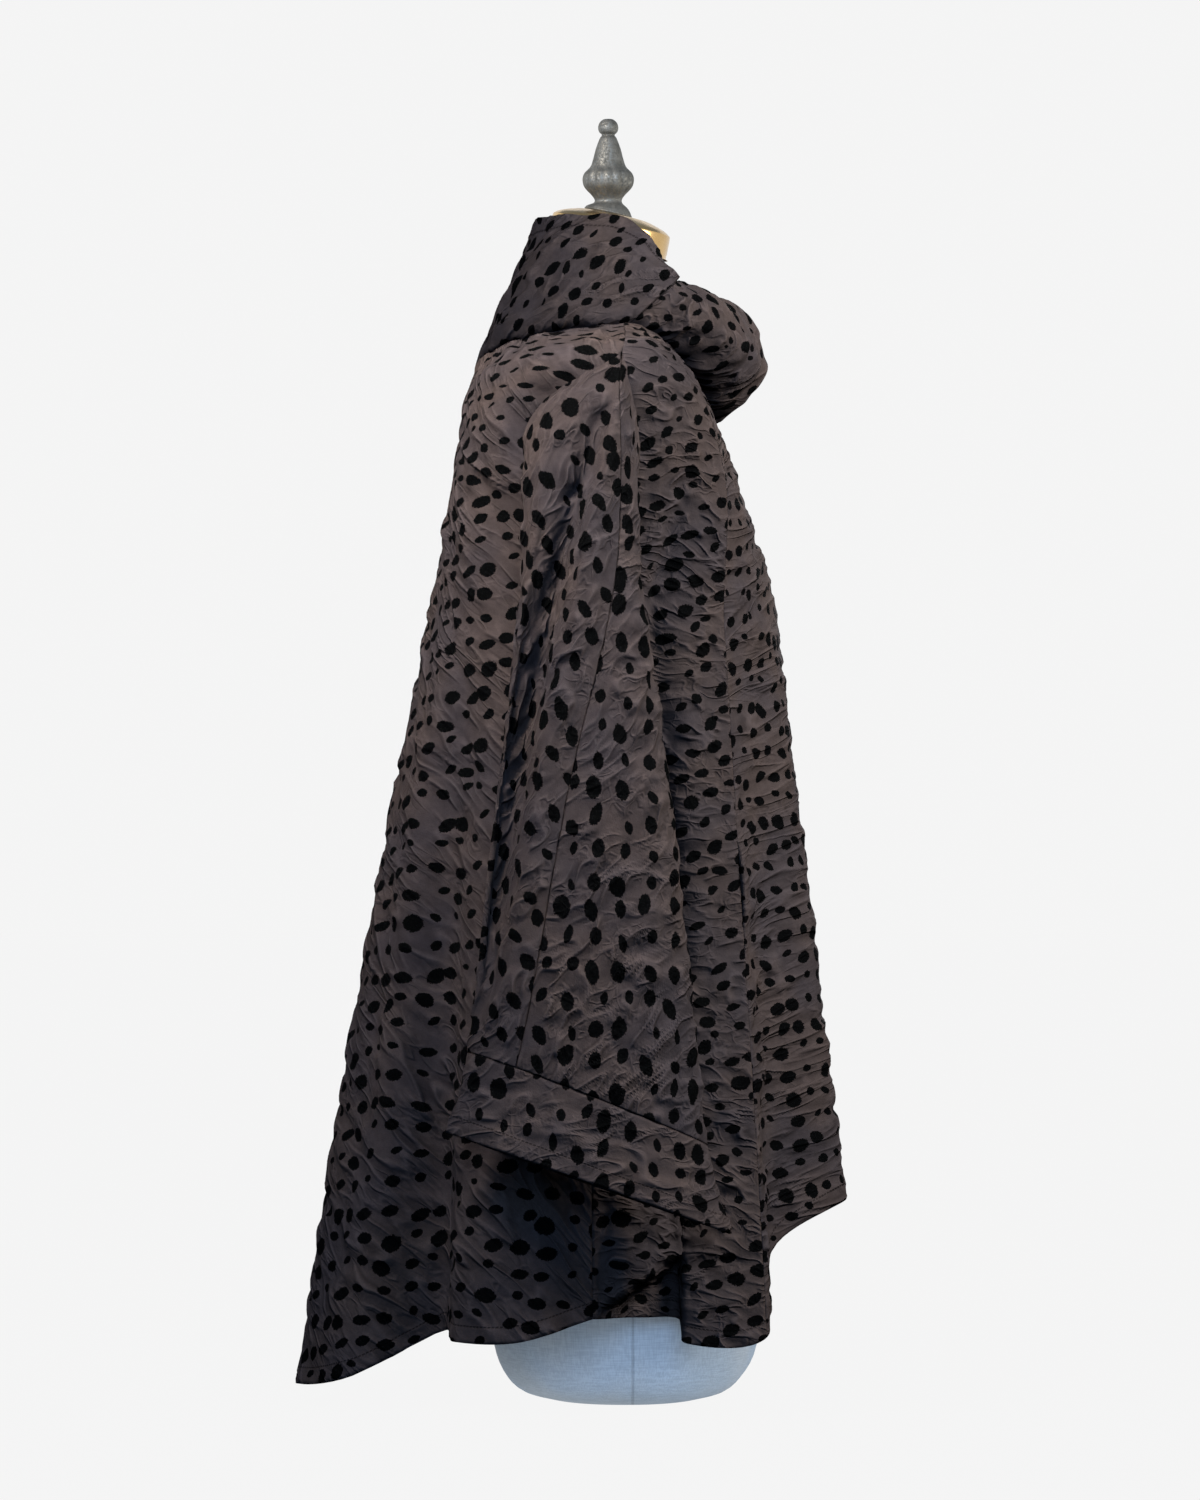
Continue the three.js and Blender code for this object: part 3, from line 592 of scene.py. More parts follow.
def two_grids(surface, reach, down, steps):
    """Columns of a piece on both halves, finer on its right half."""
    fine, coarser, up = steps
    right, _ = steps_for(surface, (-reach, 0), down, fine)
    left, _ = steps_for(surface, (0, reach), down, coarser)
    _, rows = steps_for(surface, (-reach, reach), down, up)
    return np.concatenate([spaced(-reach, 0, right)[:-1], spaced(0, reach, left)]), spaced(*down, rows)


def both_halves(point_at):
    """A surface over signed places: negative on the right half, 0 at the middle, positive on the left."""
    def surface(signed, down):
        points = point_at(1 - np.abs(signed), down)
        points[..., 0] *= np.where(signed < 0, -1, 1)
        return points
    return surface


def one_side(point_at, side):
    def surface(across, down):
        points = point_at(across, down)
        points[..., 0] *= side
        return points
    return surface


LOWER_START, LOWER_END, WEAKER = 0.012, 0.008, 0.9  # the left's creases, to the right's


def mirrored(creases):
    """The creases of one half, and much the same ones a little lower on the other half."""
    right = [(a - 1, b, c - 1, d, width, depth) for a, b, c, d, width, depth in creases]
    left = [(1 - a, b + LOWER_START, 1 - c, d + LOWER_END, width, depth * WEAKER)
            for a, b, c, d, width, depth in creases]
    return right + left


# --- creases laid one by one ---

def laid(*creases):
    """Each runs from one place (across, down) to another, in thousandths, with its half width and depth in
    mm; a ridge's depth is negative."""
    return [tuple(place / 1000 for place in crease[:4]) + crease[4:] for crease in creases]


BACK_CREASES = laid(
    (420, 260, 360, 880, 15, 17), (620, 360, 600, 780, 17, -3), (740, 580, 750, 980, 13, 3.5),
    (160, 740, 120, 990, 13, 4), (270, 720, 270, 980, 12, -2.5), (300, 100, 180, 170, 5, -2),
    (550, 130, 400, 200, 5, 2), (720, 200, 550, 270, 5, -2.2), (450, 240, 300, 310, 5, 2.4),
    (880, 270, 720, 350, 5, -2.2), (660, 360, 500, 420, 4, 2.2), (800, 420, 620, 500, 5, -2.6),
    (580, 460, 420, 530, 4, 2), (740, 530, 550, 600, 5, -2.6), (600, 600, 450, 660, 4, 2.2),
    (820, 600, 660, 670, 5, -2.8), (700, 690, 520, 760, 5, 2.4), (600, 780, 480, 830, 4, -2.2),
    (800, 760, 640, 830, 5, 2.6), (720, 860, 570, 920, 4, -2.4), (340, 840, 240, 920, 5, 2.4),
    (220, 860, 120, 950, 5, -2.6), (120, 840, 50, 930, 4, 2), (960, 500, 840, 570, 5, -2.2),
    (950, 820, 820, 900, 5, 2.2),
)
FRONT_SIDE_CREASES = laid(
    (100, 170, 300, 175, 4, 2), (220, 215, 440, 205, 4, -2.4), (120, 250, 300, 262, 4, 2),
    (260, 295, 480, 285, 5, -2.6), (300, 340, 470, 352, 4, 2), (240, 385, 450, 378, 5, -2.4),
    (300, 430, 490, 440, 4, 2.2), (260, 475, 460, 465, 5, -2.6), (310, 520, 490, 530, 4, 2),
    (280, 570, 470, 560, 5, -2.6), (320, 615, 490, 630, 4, 2.2), (300, 660, 460, 650, 5, -2.4),
    (340, 710, 490, 720, 4, 2), (320, 760, 480, 750, 5, -2.6), (340, 820, 490, 830, 4, 2.2),
    (330, 865, 480, 860, 5, -3), (350, 925, 490, 930, 6, 3.2), (360, 965, 480, 955, 5, -2.4),
    (20, 800, 100, 900, 5, 2.4), (80, 830, 160, 950, 5, -2.6), (150, 820, 200, 930, 5, 2.6),
    (240, 140, 250, 900, 14, 15), (380, 140, 360, 450, 12, 2.5),
)
FRONT_CENTRE_CREASES = laid(
    (520, 200, 660, 210, 4, 2), (550, 270, 750, 262, 4, -2.2), (510, 330, 700, 335, 4, 2.4),
    (560, 390, 800, 380, 5, -2.4), (510, 440, 680, 450, 4, 2.2), (550, 500, 780, 490, 5, -2.4),
    (510, 545, 640, 550, 4, 2.2), (660, 560, 850, 565, 4, -2), (530, 600, 640, 585, 4, 2.6),
    (520, 640, 660, 630, 4, -2.8), (520, 675, 640, 680, 4, 2.8), (520, 710, 680, 720, 4, -2.8),
    (510, 750, 660, 765, 5, 3), (510, 790, 630, 810, 5, -3), (520, 830, 620, 850, 5, 2.6),
    (600, 880, 800, 875, 5, -2.4), (550, 930, 700, 925, 4, 2.2), (700, 700, 900, 690, 5, -2.2),
    (700, 800, 920, 790, 5, 2.2), (800, 450, 980, 460, 5, -2),
)
SLEEVE_FRONT_CREASES = laid(
    (40, 130, 240, 100, 4, 2), (120, 210, 360, 160, 5, -2.2), (50, 300, 300, 255, 4, 2),
    (100, 375, 420, 320, 5, -2.4), (20, 440, 250, 395, 4, 1.8), (180, 475, 480, 415, 5, -2.6),
    (60, 560, 360, 490, 5, 2.2), (250, 590, 500, 540, 4, -2.4), (40, 660, 300, 590, 5, 2.2),
    (160, 710, 450, 635, 5, -2.6), (50, 780, 280, 715, 4, 2), (300, 780, 520, 720, 5, -2.4),
    (620, 400, 850, 360, 5, 2.2), (600, 620, 860, 570, 5, -2.2),
)
SLEEVE_BACK_CREASES = laid(
    (660, 180, 620, 720, 8, 3), (620, 140, 780, 100, 4, -2), (700, 220, 900, 170, 4, 2.2),
    (580, 300, 720, 250, 4, -2), (740, 340, 930, 290, 5, 2.4), (600, 420, 760, 370, 4, -2),
    (780, 470, 950, 420, 5, 2.4), (620, 540, 800, 490, 4, -2.2), (780, 600, 940, 550, 4, 2.2),
    (600, 660, 780, 610, 5, -2.4), (720, 740, 900, 690, 4, 2.2), (600, 790, 750, 750, 4, -2),
    (200, 450, 400, 400, 5, 2.2),
)
CUFF_CREASES = laid(
    (60, 880, 180, 850, 4, 2), (140, 950, 260, 905, 5, -2.4), (240, 890, 340, 860, 4, 2),
    (300, 960, 420, 920, 5, -2.4), (380, 900, 470, 870, 4, 2.2), (40, 955, 120, 930, 4, -1.8),
    (560, 950, 660, 900, 5, 2.2),
)
COLLAR_FRONT_CREASES = laid(
    (120, 300, 180, 800, 5, 2.2), (250, 80, 280, 750, 6, 2.4), (420, 50, 450, 700, 7, 2.8),
    (600, 100, 600, 750, 7, 2.6), (800, 50, 780, 700, 7, 2.6), (500, 300, 530, 600, 4, -1.8),
)
COLLAR_BACK_CREASES = laid(
    (900, 150, 550, 550, 5, 2.2), (750, 100, 400, 500, 5, -2.4), (600, 80, 250, 450, 5, 2.4),
    (420, 60, 120, 350, 4, -2.2), (850, 400, 500, 850, 5, 2.2), (600, 450, 280, 850, 5, -2.2),
    (350, 500, 120, 850, 5, 2.2), (950, 700, 700, 950, 4, -1.8),
)

# --- the pieces of the poncho ---

ROOT = "root"
CENTRE_STEPS, BACK_STEPS, COLLAR_STEPS = (2.4, 4.6, 2.6), (2.8, 6, 3.1), (2, 3.2, 2)  # right, left, down
POCKET_BAG = (0.8, 0.5, 0.82)  # how far across it reaches, its top and its bottom
POCKET_REACH, POCKET_BEHIND = 0.05, 3.4  # how far along the front the gape fades, and the bag's clearance
SWAG = {"from": 0.04, "run": 0.24, "low": 0.98, "high": 0.925, "lift": 17, "rise": 0.09, "reach": 0.3,
        "tuck": 34, "less": 14, "less from": 0.11, "edge": 0.012}
SWAG_ENDS = ((0.01, 0.07), (0.22, 0.09))  # where it sets in and dies away, and over what distance
WORN = bpy.data.collections.new("cloth")  # the pieces of cloth, which some lamps light alone


def stands_for(obj, node):
    """Puts an object in the place of its CAD solid."""
    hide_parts(node)
    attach(obj, ROOT)


def wear(node, fabric, *cut, rests_on="form_torso", **ways):
    """Makes a piece of cloth in the place of its CAD solid."""
    obj, (width, long), area = cloth(f"{node}_cloth", *cut, **ways)
    WORN.objects.link(obj)
    obj.data.materials.append(fabric)
    stands_for(obj, node)
    round(min(area, 0.999 * width * long), 4)


def pocket_mouth(points, signed, down):
    """The front edge of the pocket's mouth stands away from the ridge seam, most of all near its top."""
    place = 1 - np.abs(signed)
    share = portion(down, POCKET_TOP, POCKET_END)
    gape = np.sin(np.pi * share ** 0.6) * np.exp(-(((place - RIDGE) / POCKET_REACH) ** 2))
    points[..., 0] += np.where(signed < 0, -1, 1) * POCKET_LIFT * gape
    points[..., 1] -= POCKET_GAPE * gape
    return points


def swag(side):
    """Between the side seam and the drop fold the hem turns under, below a soft edge that rises forwards."""
    def shape(points, across, down):
        share = np.clip((across - SWAG["from"]) / SWAG["run"], 0, 1)
        edge = SWAG["low"] + (SWAG["high"] - SWAG["low"]) * share
        sets_in, dies_away = [ease((across - at) / over) for at, over in SWAG_ENDS]
        above = np.exp(-((down - edge) / SWAG["rise"]) ** 2)
        below = ease((down - edge) / SWAG["edge"])
        less = SWAG["less"] * np.clip((across - SWAG["less from"]) / SWAG["less from"], 0, 1)
        out = SWAG["lift"] * np.where(down < edge, above, 1) - (SWAG["tuck"] - less) * below
        points[..., 0] += side * sets_in * (1 - dies_away) * np.where(down > edge - SWAG["reach"], out, 0)
        return points
    return shape


def make_poncho(knit):
    front, back = both_halves(front_point), both_halves(back_point)
    wear("front_centre", knit, front, *two_grids(front, 1 - RIDGE, (NECK, HEM), CENTRE_STEPS), -1,
         "blind blind blind hem", rise=-8, crinkle=(30, 8.5, 3), creases=mirrored(FRONT_CENTRE_CREASES),
         seed=3, middle=0, gather=(1.2, 1.15, 1.2), shape=pocket_mouth)
    wear("back", knit, back, *two_grids(back, 1, (NECK, HEM), BACK_STEPS), 1,
         "blind blind blind hem", rise=-30, turned_by=12, crinkle=(28, 11.5, 3.2),
         creases=mirrored(BACK_CREASES), seed=7, middle=0, gather=(1.08, 1, 1.75))
    for label, side in (("right", -1), ("left", 1)):
        make_side(knit, label, side)
    make_collar(knit)


def sleeve_front(share, down):
    return sleeve_point(down, overarm(down) + (UNDERARM_SEAM - overarm(down)) * share)


def sleeve_back(share, down):
    return sleeve_point(down, UNDERARM_SEAM + (1 + overarm(down) - UNDERARM_SEAM) * share)


def band(turn, down):
    return sleeve_point(down, turn % 1)


def make_side(knit, label, side):
    own = 20 if side > 0 else 0
    step = FINE if side < 0 else PLAIN
    panel = one_side(front_point, side)
    wear(f"front_side_{label}", knit, panel, *fine_grid(panel, (0, RIDGE), (NECK, HEM), step), side,
         "blind blind blind hem", rise=-6, turned_by=28 * side, crinkle=(30, 8.5, 3),
         creases=FRONT_SIDE_CREASES, seed=11 + own, gather=(1.15, 1.18, 1.25), shape=swag(side))

    for half, surface, rise, creases in (("front", sleeve_front, 56, SLEEVE_FRONT_CREASES),
                                         ("back", sleeve_back, 44, SLEEVE_BACK_CREASES)):
        sleeve = one_side(surface, side)
        wear(f"sleeve_{half}_{label}", knit, sleeve, *fine_grid(sleeve, (0, 1), (0, CUFF_SEAM), step), side,
             "seam seam blind seam", rise=rise, turned_by=78, crinkle=(34, 10.5, 3.2), creases=creases,
             seed=15 + own + len(half))

    cuff = one_side(band, side)
    all_round = (UNDERARM_SEAM - 1, UNDERARM_SEAM)
    wear(f"cuff_{label}", knit, cuff, *fine_grid(cuff, all_round, (CUFF_SEAM, 1), step), side,
         "blind blind seam hem", rise=30, turned_by=90, crinkle=(38, 10.5, 2.8), creases=CUFF_CREASES,
         seed=27 + own)

    reach, top, bottom = POCKET_BAG

    def behind(points, across, down):
        fall = np.sin(np.pi * (down - top) / (bottom - top))
        inner = np.clip((reach - across) / (reach - RIDGE), 0, 1)
        depth = POCKET_BEHIND + POCKET_DEPTH * fall * inner ** 0.5
        return points - grid_normals(points, side) * depth[..., None]

    wear(f"pocket_{label}", knit, panel, *fine_grid(panel, (RIDGE, reach), (top, bottom)), side,
         "none seam seam seam", rise=6, crinkle=(40, 12, 0.5), seed=31 + own, shape=behind,
         rests_on="front_centre_cloth")


def make_collar(knit):
    for half, sewn_to, stations, outward, rise, lean, creases, seed in (
            ("front", front_point, COLLAR_FRONT, 1, 74, 65, COLLAR_FRONT_CREASES, 51),
            ("back", back_point, COLLAR_BACK, -1, -58, 90, COLLAR_BACK_CREASES, 57)):
        def collar(across, up, sewn_to=sewn_to, stations=stations):
            return collar_point(sewn_to(across, np.zeros_like(across)), stations, across, up)

        surface = both_halves(collar)
        wear(f"collar_{half}", knit, surface, *two_grids(surface, 1, (0, 1), COLLAR_STEPS), outward,
             "seam seam blind hem", rise=rise, turned_by=lean, crinkle=(30, 9, 3.2),
             creases=mirrored(creases), seed=seed, middle=0, gather=(1.3, 1.3, 1.3))


# --- the dress form ---

FORM_SIDES, FORM_POWER = 96, 2.2
FORM_RINGS = [  # z, half width, front, back
    (0, 122, -66, 66), (4, 140, -82, 82), (14, 155, -94, 94), (32, 163, -105, 103), (60, 166, -110, 108),
    (120, 167, -110, 112), (200, 163, -104, 112), (280, 148, -92, 98), (350, 128, -80, 78),
    (410, 124, -76, 70), (480, 132, -84, 76), (560, 144, -98, 88), (630, 151, -108, 98),
    (690, 152, -92, 104), (740, 159, -70, 105), (780, 166, -48, 99), (810, 168, -36, 84),
    (832, 163, -28, 64), (844, 155, -24, 50), (848.6, 144, -22, 46), (852, 122, -22, 46),
    (855, 98, -24, 50), (862, 70, -28, 56), (880, 54, -30, 58), (926, 47, -33, 61),
]
NECK_CENTRE, NECK_TOP, NECK_TILT, TILT_FROM = 14, 926, math.radians(12), 832
CAP_TOP, CAP_STEPS, CAP_SIDES = 27.2, 40, 96
CAP_PROFILE = [  # radius, height
    (0, 0.3), (46.5, 0.3), (48.5, 1.5), (48.5, 17), (47, 20), (43, 22.5), (34, 25.6), (25, CAP_TOP),
    (0, 27.4),
]
FINIAL_STEPS, FINIAL_SIDES = 90, 128
FINIAL_PROFILE = [
    (0, 0.3), (18, 0.3), (18.6, 3), (16, 6), (11.6, 9), (11.2, 12), (14, 16), (19, 22), (20.4, 28),
    (19, 33), (14.6, 38), (12.4, 44), (10, 53), (7, 61), (5.2, 64), (7.4, 66.5), (8.2, 70), (7, 74),
    (3.6, 76.8), (0, 76.8),
]
FINIAL_UPRIGHT, FINIAL_BACK = 12, 4.5  # the height where it is upright, and how far behind the axis it stands
FLUTES, FLUTE_DEPTH, FLUTE_MIDDLE = 8, 0.055, 0.6
FLUTES_FROM, FLUTES_TO, FLUTES_FADE = 14, 35, 5


def tube(name, rings, material):
    """A closed skin over rings of points in millimetres, one after the other."""
    points = np.array(rings)
    count, sides = points.shape[:2]
    index = np.arange(count * sides).reshape(count, sides)
    following = np.roll(index, -1, axis=1)
    quads = np.stack([index[:-1], following[:-1], following[1:], index[1:]], axis=-1).reshape(-1, 4)
    faces = quads.tolist() + [index[0, ::-1].tolist(), index[-1].tolist()]
    obj = skin(name, points.reshape(-1, 3), faces)
    obj.data.materials.append(material)
    return obj


def tilted(x, y, centre, tilt):
    return np.stack([x, y * math.cos(tilt), y * math.sin(tilt)], axis=-1) + centre


def make_torso(linen):
    angles = np.linspace(0, 2 * np.pi, FORM_SIDES, endpoint=False)
    levels = np.array([row[0] for row in FORM_RINGS], float)
    thirds = np.tile(np.arange(1, 4) / 3, len(levels) - 1)
    heights = np.append(levels[0], np.repeat(levels[:-1], 3) + thirds * np.repeat(np.diff(levels), 3))
    rings = []
    for z in heights:
        half_width, front, back = through(levels, [row[1:] for row in FORM_RINGS], np.array(z))
        tilt = NECK_TILT * float(ease((z - TILT_FROM) / (NECK_TOP - TILT_FROM)))
        x = half_width * np.sign(np.cos(angles)) * np.abs(np.cos(angles)) ** (2 / FORM_POWER)
        y = (back - front) / 2 * np.sign(np.sin(angles)) * np.abs(np.sin(angles)) ** (2 / FORM_POWER)
        rings.append(tilted(x, y, np.array([0, (front + back) / 2, z]), tilt))
    return tube("torso_linen", rings, linen)


def turned(name, profile, centre_at, tilt_at, sides, material, flute=None):
    angles = np.linspace(0, 2 * np.pi, sides, endpoint=False)
    rings = []
    for radius, height in profile:
        reach = radius * (1 + flute(height, angles)) if flute else radius
        x, y = reach * np.cos(angles), reach * np.sin(angles)
        rings.append(tilted(x, y, centre_at(height), tilt_at(height)))
    return tube(name, rings, material)


def refined(profile, steps):
    """A profile with more points, on a smooth curve through its own."""
    knots = np.arange(len(profile), dtype=float)
    places = np.linspace(0, len(profile) - 1, steps)
    points = through(knots, [(r, h, 0) for r, h in profile], places)
    return [(max(float(r), 0.01), float(h)) for r, h, _ in points]


def make_form(linen, brass, pewter):
    axis = np.array([0, -math.sin(NECK_TILT), math.cos(NECK_TILT)])
    neck_top = np.array([0, NECK_CENTRE, NECK_TOP], float)
    torso = make_torso(linen)
    cap = turned("neck_cap", refined(CAP_PROFILE, CAP_STEPS), lambda h: neck_top + axis * h,
                 lambda h: NECK_TILT, CAP_SIDES, brass)
    back_slope = np.array([0, math.cos(NECK_TILT), math.sin(NECK_TILT)])
    base = neck_top + axis * CAP_TOP + back_slope * FINIAL_BACK

    def flutes(height, angles):
        body = ease((height - FLUTES_FROM) / FLUTES_FADE) * (1 - ease((height - FLUTES_TO) / FLUTES_FADE))
        return FLUTE_DEPTH * body * (np.abs(np.cos(angles * FLUTES)) - FLUTE_MIDDLE)

    finial = turned("finial", refined(FINIAL_PROFILE, FINIAL_STEPS), lambda h: base + np.array([0, 0, h]),
                    lambda h: NECK_TILT * (1 - float(ease(h / FINIAL_UPRIGHT))), FINIAL_SIDES, pewter, flutes)
    for piece, node, slot in ((torso, "form_torso", "linen"), (cap, "form_neck_cap", "brass"),
                              (finial, "form_finial", "pewter")):
        stands_for(piece, node)
    return torso, cap, finial


# --- materials ---

VECTOR, OBJECT = 1, 3  # the outputs wanted of the Attribute and Texture Coordinate nodes


class Signal:
    """A node's output; reckoning with it makes further nodes."""

    def __init__(self, socket):
        self.socket = socket

    def __abs__(self):
        return maths("ABSOLUTE", self)


for sign, operation in (("add", "ADD"), ("sub", "SUBTRACT"), ("mul", "MULTIPLY"), ("truediv", "DIVIDE"),
                        ("pow", "POWER")):
    setattr(Signal, f"__{sign}__", lambda one, two, name=operation: maths(name, one, two))
    setattr(Signal, f"__r{sign}__", lambda two, one, name=operation: maths(name, one, two))


def given(item, **values):
    """Sets an item's properties and hands it back."""
    for key, value in values.items():
        setattr(item, key, value)
    return item


def connect(socket, value):
    """Gives an input a value or another node's output."""
    if isinstance(value, Signal):
        socket.id_data.links.new(value.socket, socket)
    else:
        socket.default_value = value


def add(kind, inputs=None, tree=None, **settings):
    """A shader node with its settings and inputs, in the tree of its inputs unless another is given."""
    inputs = inputs or {}
    if tree is None:
        tree = next(value.socket.id_data for value in inputs.values() if isinstance(value, Signal))
    made = given(tree.nodes.new(f"ShaderNode{kind}"), **settings)
    for key, value in inputs.items():
        connect(made.inputs[key], value)
    return [Signal(socket) for socket in made.outputs]


def maths(operation, *values):
    return add("Math", dict(enumerate(values)), operation=operation)[0]


def vector_maths(operation, *values):
    return add("VectorMath", dict(enumerate(values)), operation=operation)[0]


def split(vector):
    return add("SeparateXYZ", {0: vector})


def ramp(value, low, high, from_value=0, to_value=1):
    return add("MapRange", {"Value": value, "From Min": low, "From Max": high, "To Min": from_value,
                            "To Max": to_value}, interpolation_type="SMOOTHSTEP")[0]


def grain(vector, scale, detail=2, roughness=0.5, **settings):
    return add("TexNoise", {"Vector": vector, "Scale": scale, "Detail": detail, "Roughness": roughness},
               **settings)[0]


def mix(factor, first, second, blend="MIX"):
    return add("Mix", {0: factor, 6: first, 7: second}, data_type="RGBA", blend_type=blend)[2]


def shaded(colour, shade):
    grey = add("CombineColor", {0: shade, 1: shade, 2: shade})[0]
    return mix(1, colour, grey, "MULTIPLY")


def material(name, roughness, specular, metallic=0):
    """A new material, its tree and its shader's inputs."""
    made = bpy.data.materials.new(name)
    made.use_nodes = True
    tree = made.node_tree
    tree.nodes.clear()
    shader = tree.nodes.new("ShaderNodeBsdfPrincipled")
    tree.links.new(shader.outputs[0], tree.nodes.new("ShaderNodeOutputMaterial").inputs["Surface"])
    connect(shader.inputs["Roughness"], roughness)
    connect(shader.inputs["Specular IOR Level"], specular)
    connect(shader.inputs["Metallic"], metallic)
    return made, tree, shader.inputs


def finish(inputs, colour, height):
    """Gives a shader its colour and its relief in metres."""
    connect(inputs["Base Color"], colour)
    connect(inputs["Normal"], add("Bump", {"Height": height, "Distance": 1, "Strength": 1})[0])


DOT_PITCH, ROWS_CLOSER = 0.0232, 1.1
STITCH_LENGTH = 0.0032
MAUVE, MAUVE_COOL = (0.0262, 0.0212, 0.0208, 1), (0.0205, 0.018, 0.02, 1)
INK, INK_FLECK = (0.0006, 0.0007, 0.0008, 1), (0.0045, 0.0052, 0.006, 1)
INDIGO, INDIGO_PALE = (0.228, 0.298, 0.385, 1), (0.275, 0.325, 0.38, 1)


def make_knit():
    made, tree, inputs = material("knit", roughness=0.93, specular=0.01)
    uv = add("UVMap", tree=tree, uv_map="cloth")[0]
    edges, crinkle, wrinkle = [add("Attribute", tree=tree, attribute_name=name)[VECTOR]
                               for name in ("edges", "crinkle", "wrinkle")]
    along_edge, from_seam, from_hem = split(edges)
    line, ridge, pillow = creased(crinkle, wrinkle)
    dot = dots(uv)
    stitched = stitch_row(along_edge, from_hem)
    seam = ramp(from_seam, 0.0002, 0.001)

    # Colour: a mauve ground that fades and fuzzes, near-black dots with flecks and darker seams, with painted
    # shade along the crease lines and in the hollows between them and a painted highlight on the creases'
    # ridges.
    tone = mix(ramp(grain(uv, 11, 3), 0.35, 0.65), MAUVE, MAUVE_COOL)
    fuzz = ramp(grain(uv, 1500, 3, 0.7), 0.3, 0.7, 0.84, 1.15)
    fading = ramp(grain(uv, 180), 0.3, 0.7, 0.92, 1.07)
    # painted shade in the hollows between the creases, and painted light on their crests
    painted_hollow_shade = ramp(pillow, 0, 0.6, 1.04, 0.94)
    # painted shade along the crease lines and a painted highlight on their ridges are multiplied in here
    shade = (fuzz * fading * (1 - line * 0.34) * (1 + ridge * 0.34) * painted_hollow_shade
             * (0.62 + seam * 0.38) * (1 - stitched * 0.45))
    flecks = ramp(grain(uv, 1300, 1), 0.6, 0.74)
    colour = mix(dot, shaded(tone, shade), mix(flecks, INK, INK_FLECK))

    # Relief: loops, pillows between the creases, sunk dots, seams and the hem's stitches.
    height = (grain(uv, 1100) * 0.00016 + grain(uv, 320) * 0.00035 + line * -0.0004 + ridge * 0.0015
              + pillow * -0.0008 + dot * -0.00022 + seam * 0.0005 + stitched * -0.0006)
    finish(inputs, colour, height)
    return made


def dots(uv):
    """1 in the dots: a pointed oval in each cell of an uneven grid, turned and sized by chance."""
    cells = vector_maths("MULTIPLY", uv, (1 / DOT_PITCH, ROWS_CLOSER / DOT_PITCH, 0))
    sway = add("TexNoise", {"Vector": uv, "Scale": 14, "Detail": 1})[1]
    cells = vector_maths("MULTIPLY_ADD", sway, (0.6, 0.6, 0), cells)
    _, chances, centre, *_ = add("TexVoronoi", {"Vector": cells, "Scale": 1, "Randomness": 0.46},
                                 voronoi_dimensions="2D", feature="F1")
    chance = add("SeparateColor", {0: chances})
    offset = vector_maths("SUBTRACT", cells, centre)
    turn = chance[0] - 0.5
    local = split(add("VectorRotate", {"Vector": offset, "Angle": turn}, rotation_type="Z_AXIS")[0])
    long = ramp(chance[1], 0, 1, 0.21, 0.4)
    short = long * ramp(chance[2], 0, 1, 0.56, 0.82)
    reach = abs(local[0] / long) ** 1.8 + abs(local[1] / short) ** 1.8
    for scale, size in ((900, 0.8), (260, 0.6)):
        reach = reach + (grain(uv, scale, 1) - 0.5) * size
    return ramp(reach, 1.06, 0.94)


def peak(value, middle, width):
    """1 at the middle, falling to 0 a width away on either side."""
    return ramp(abs(value - middle), width, 0)


def creased(crinkle, wrinkle):
    """Masks from 0 to 1 of each crease's side, its ridge and the hollow between creases. They shape the
    relief, and the knit also uses them for painted shade on the side and in the hollow and a painted
    highlight on the ridge.
    """
    main, other, strong = split(wrinkle)
    fine = (grain(vector_maths("MULTIPLY", crinkle, (62, 100, 0)), 1, 1, noise_dimensions="2D") - 0.5) * 3
    patches = grain(vector_maths("MULTIPLY", crinkle, (36, 50, 0)), 1, 0, noise_dimensions="2D")
    patches = ramp(patches, 0.42, 0.62)
    lines, ridges = [], []
    for signed, weight, width, shows in ((main, 1, 0.17, strong), (other, 0.35, 0.1, patches),
                                         (fine, 0.45, 0.2, patches)):
        strength = shows * weight
        lines.append(peak(signed, 1.7 * width, 1.3 * width) * strength)
        ridges.append(peak(signed, 0, 1.5 * width) * strength)
    line, ridge = [maths("MAXIMUM", maths("MAXIMUM", a, b), c) for a, b, c in (lines, ridges)]
    return line, ridge, maths("MINIMUM", abs(main), 0.6)


def stitch_row(along_edge, from_hem):
    """1 on the row of stitches that holds the hem."""
    row = ramp(abs(from_hem - HEM_DEPTH * MM), 0.001, 0.0003)
    return row * ramp(maths("SINE", along_edge * (2 * math.pi / STITCH_LENGTH)), -0.75, -0.35)


def make_linen():
    made, tree, inputs = material("linen", roughness=0.88, specular=0.25)
    place = add("TexCoord", tree=tree)[OBJECT]
    threads = [grain(vector_maths("MULTIPLY", place, scales), 1, 2, 0.6)
               for scales in ((900, 900, 60), (60, 60, 1100))]
    weave = threads[0] + threads[1]
    tone = mix(ramp(grain(place, 9, 3), 0.3, 0.7), INDIGO, INDIGO_PALE)
    seam = ramp(abs(split(place)[1] + 0.0065), 0.0004, 0.0014)
    shade = ramp(weave, 0.75, 1.25, 0.86, 1.08) * (seam * 0.22 + 0.78)
    finish(inputs, shaded(tone, shade), weave * 0.00018 + seam * 0.0005)
    return made


def make_metal(name, light, dark, roughness, spots):
    made, tree, inputs = material(name, roughness, specular=0.5, metallic=1)
    place = add("TexCoord", tree=tree)[OBJECT]
    worn = ramp(grain(place, spots, 4, 0.6), 0.35, 0.7)
    rough = ramp(grain(place, spots * 4, 3), 0.3, 0.7, roughness * 0.8, roughness * 1.3)
    connect(inputs["Roughness"], rough)
    finish(inputs, mix(worn, light, dark), grain(place, 700, 3) * 0.00006)
    return made


# --- camera, floor and light ---

ROOM, ROOM_SIDES, ROOM_HEIGHT = 16, 96, 9
PALE, DULL = (0.905, 0.905, 0.905, 1), (0.004, 0.004, 0.004, 1)
SKY = (0.24, 0.28, 0.34, 1)


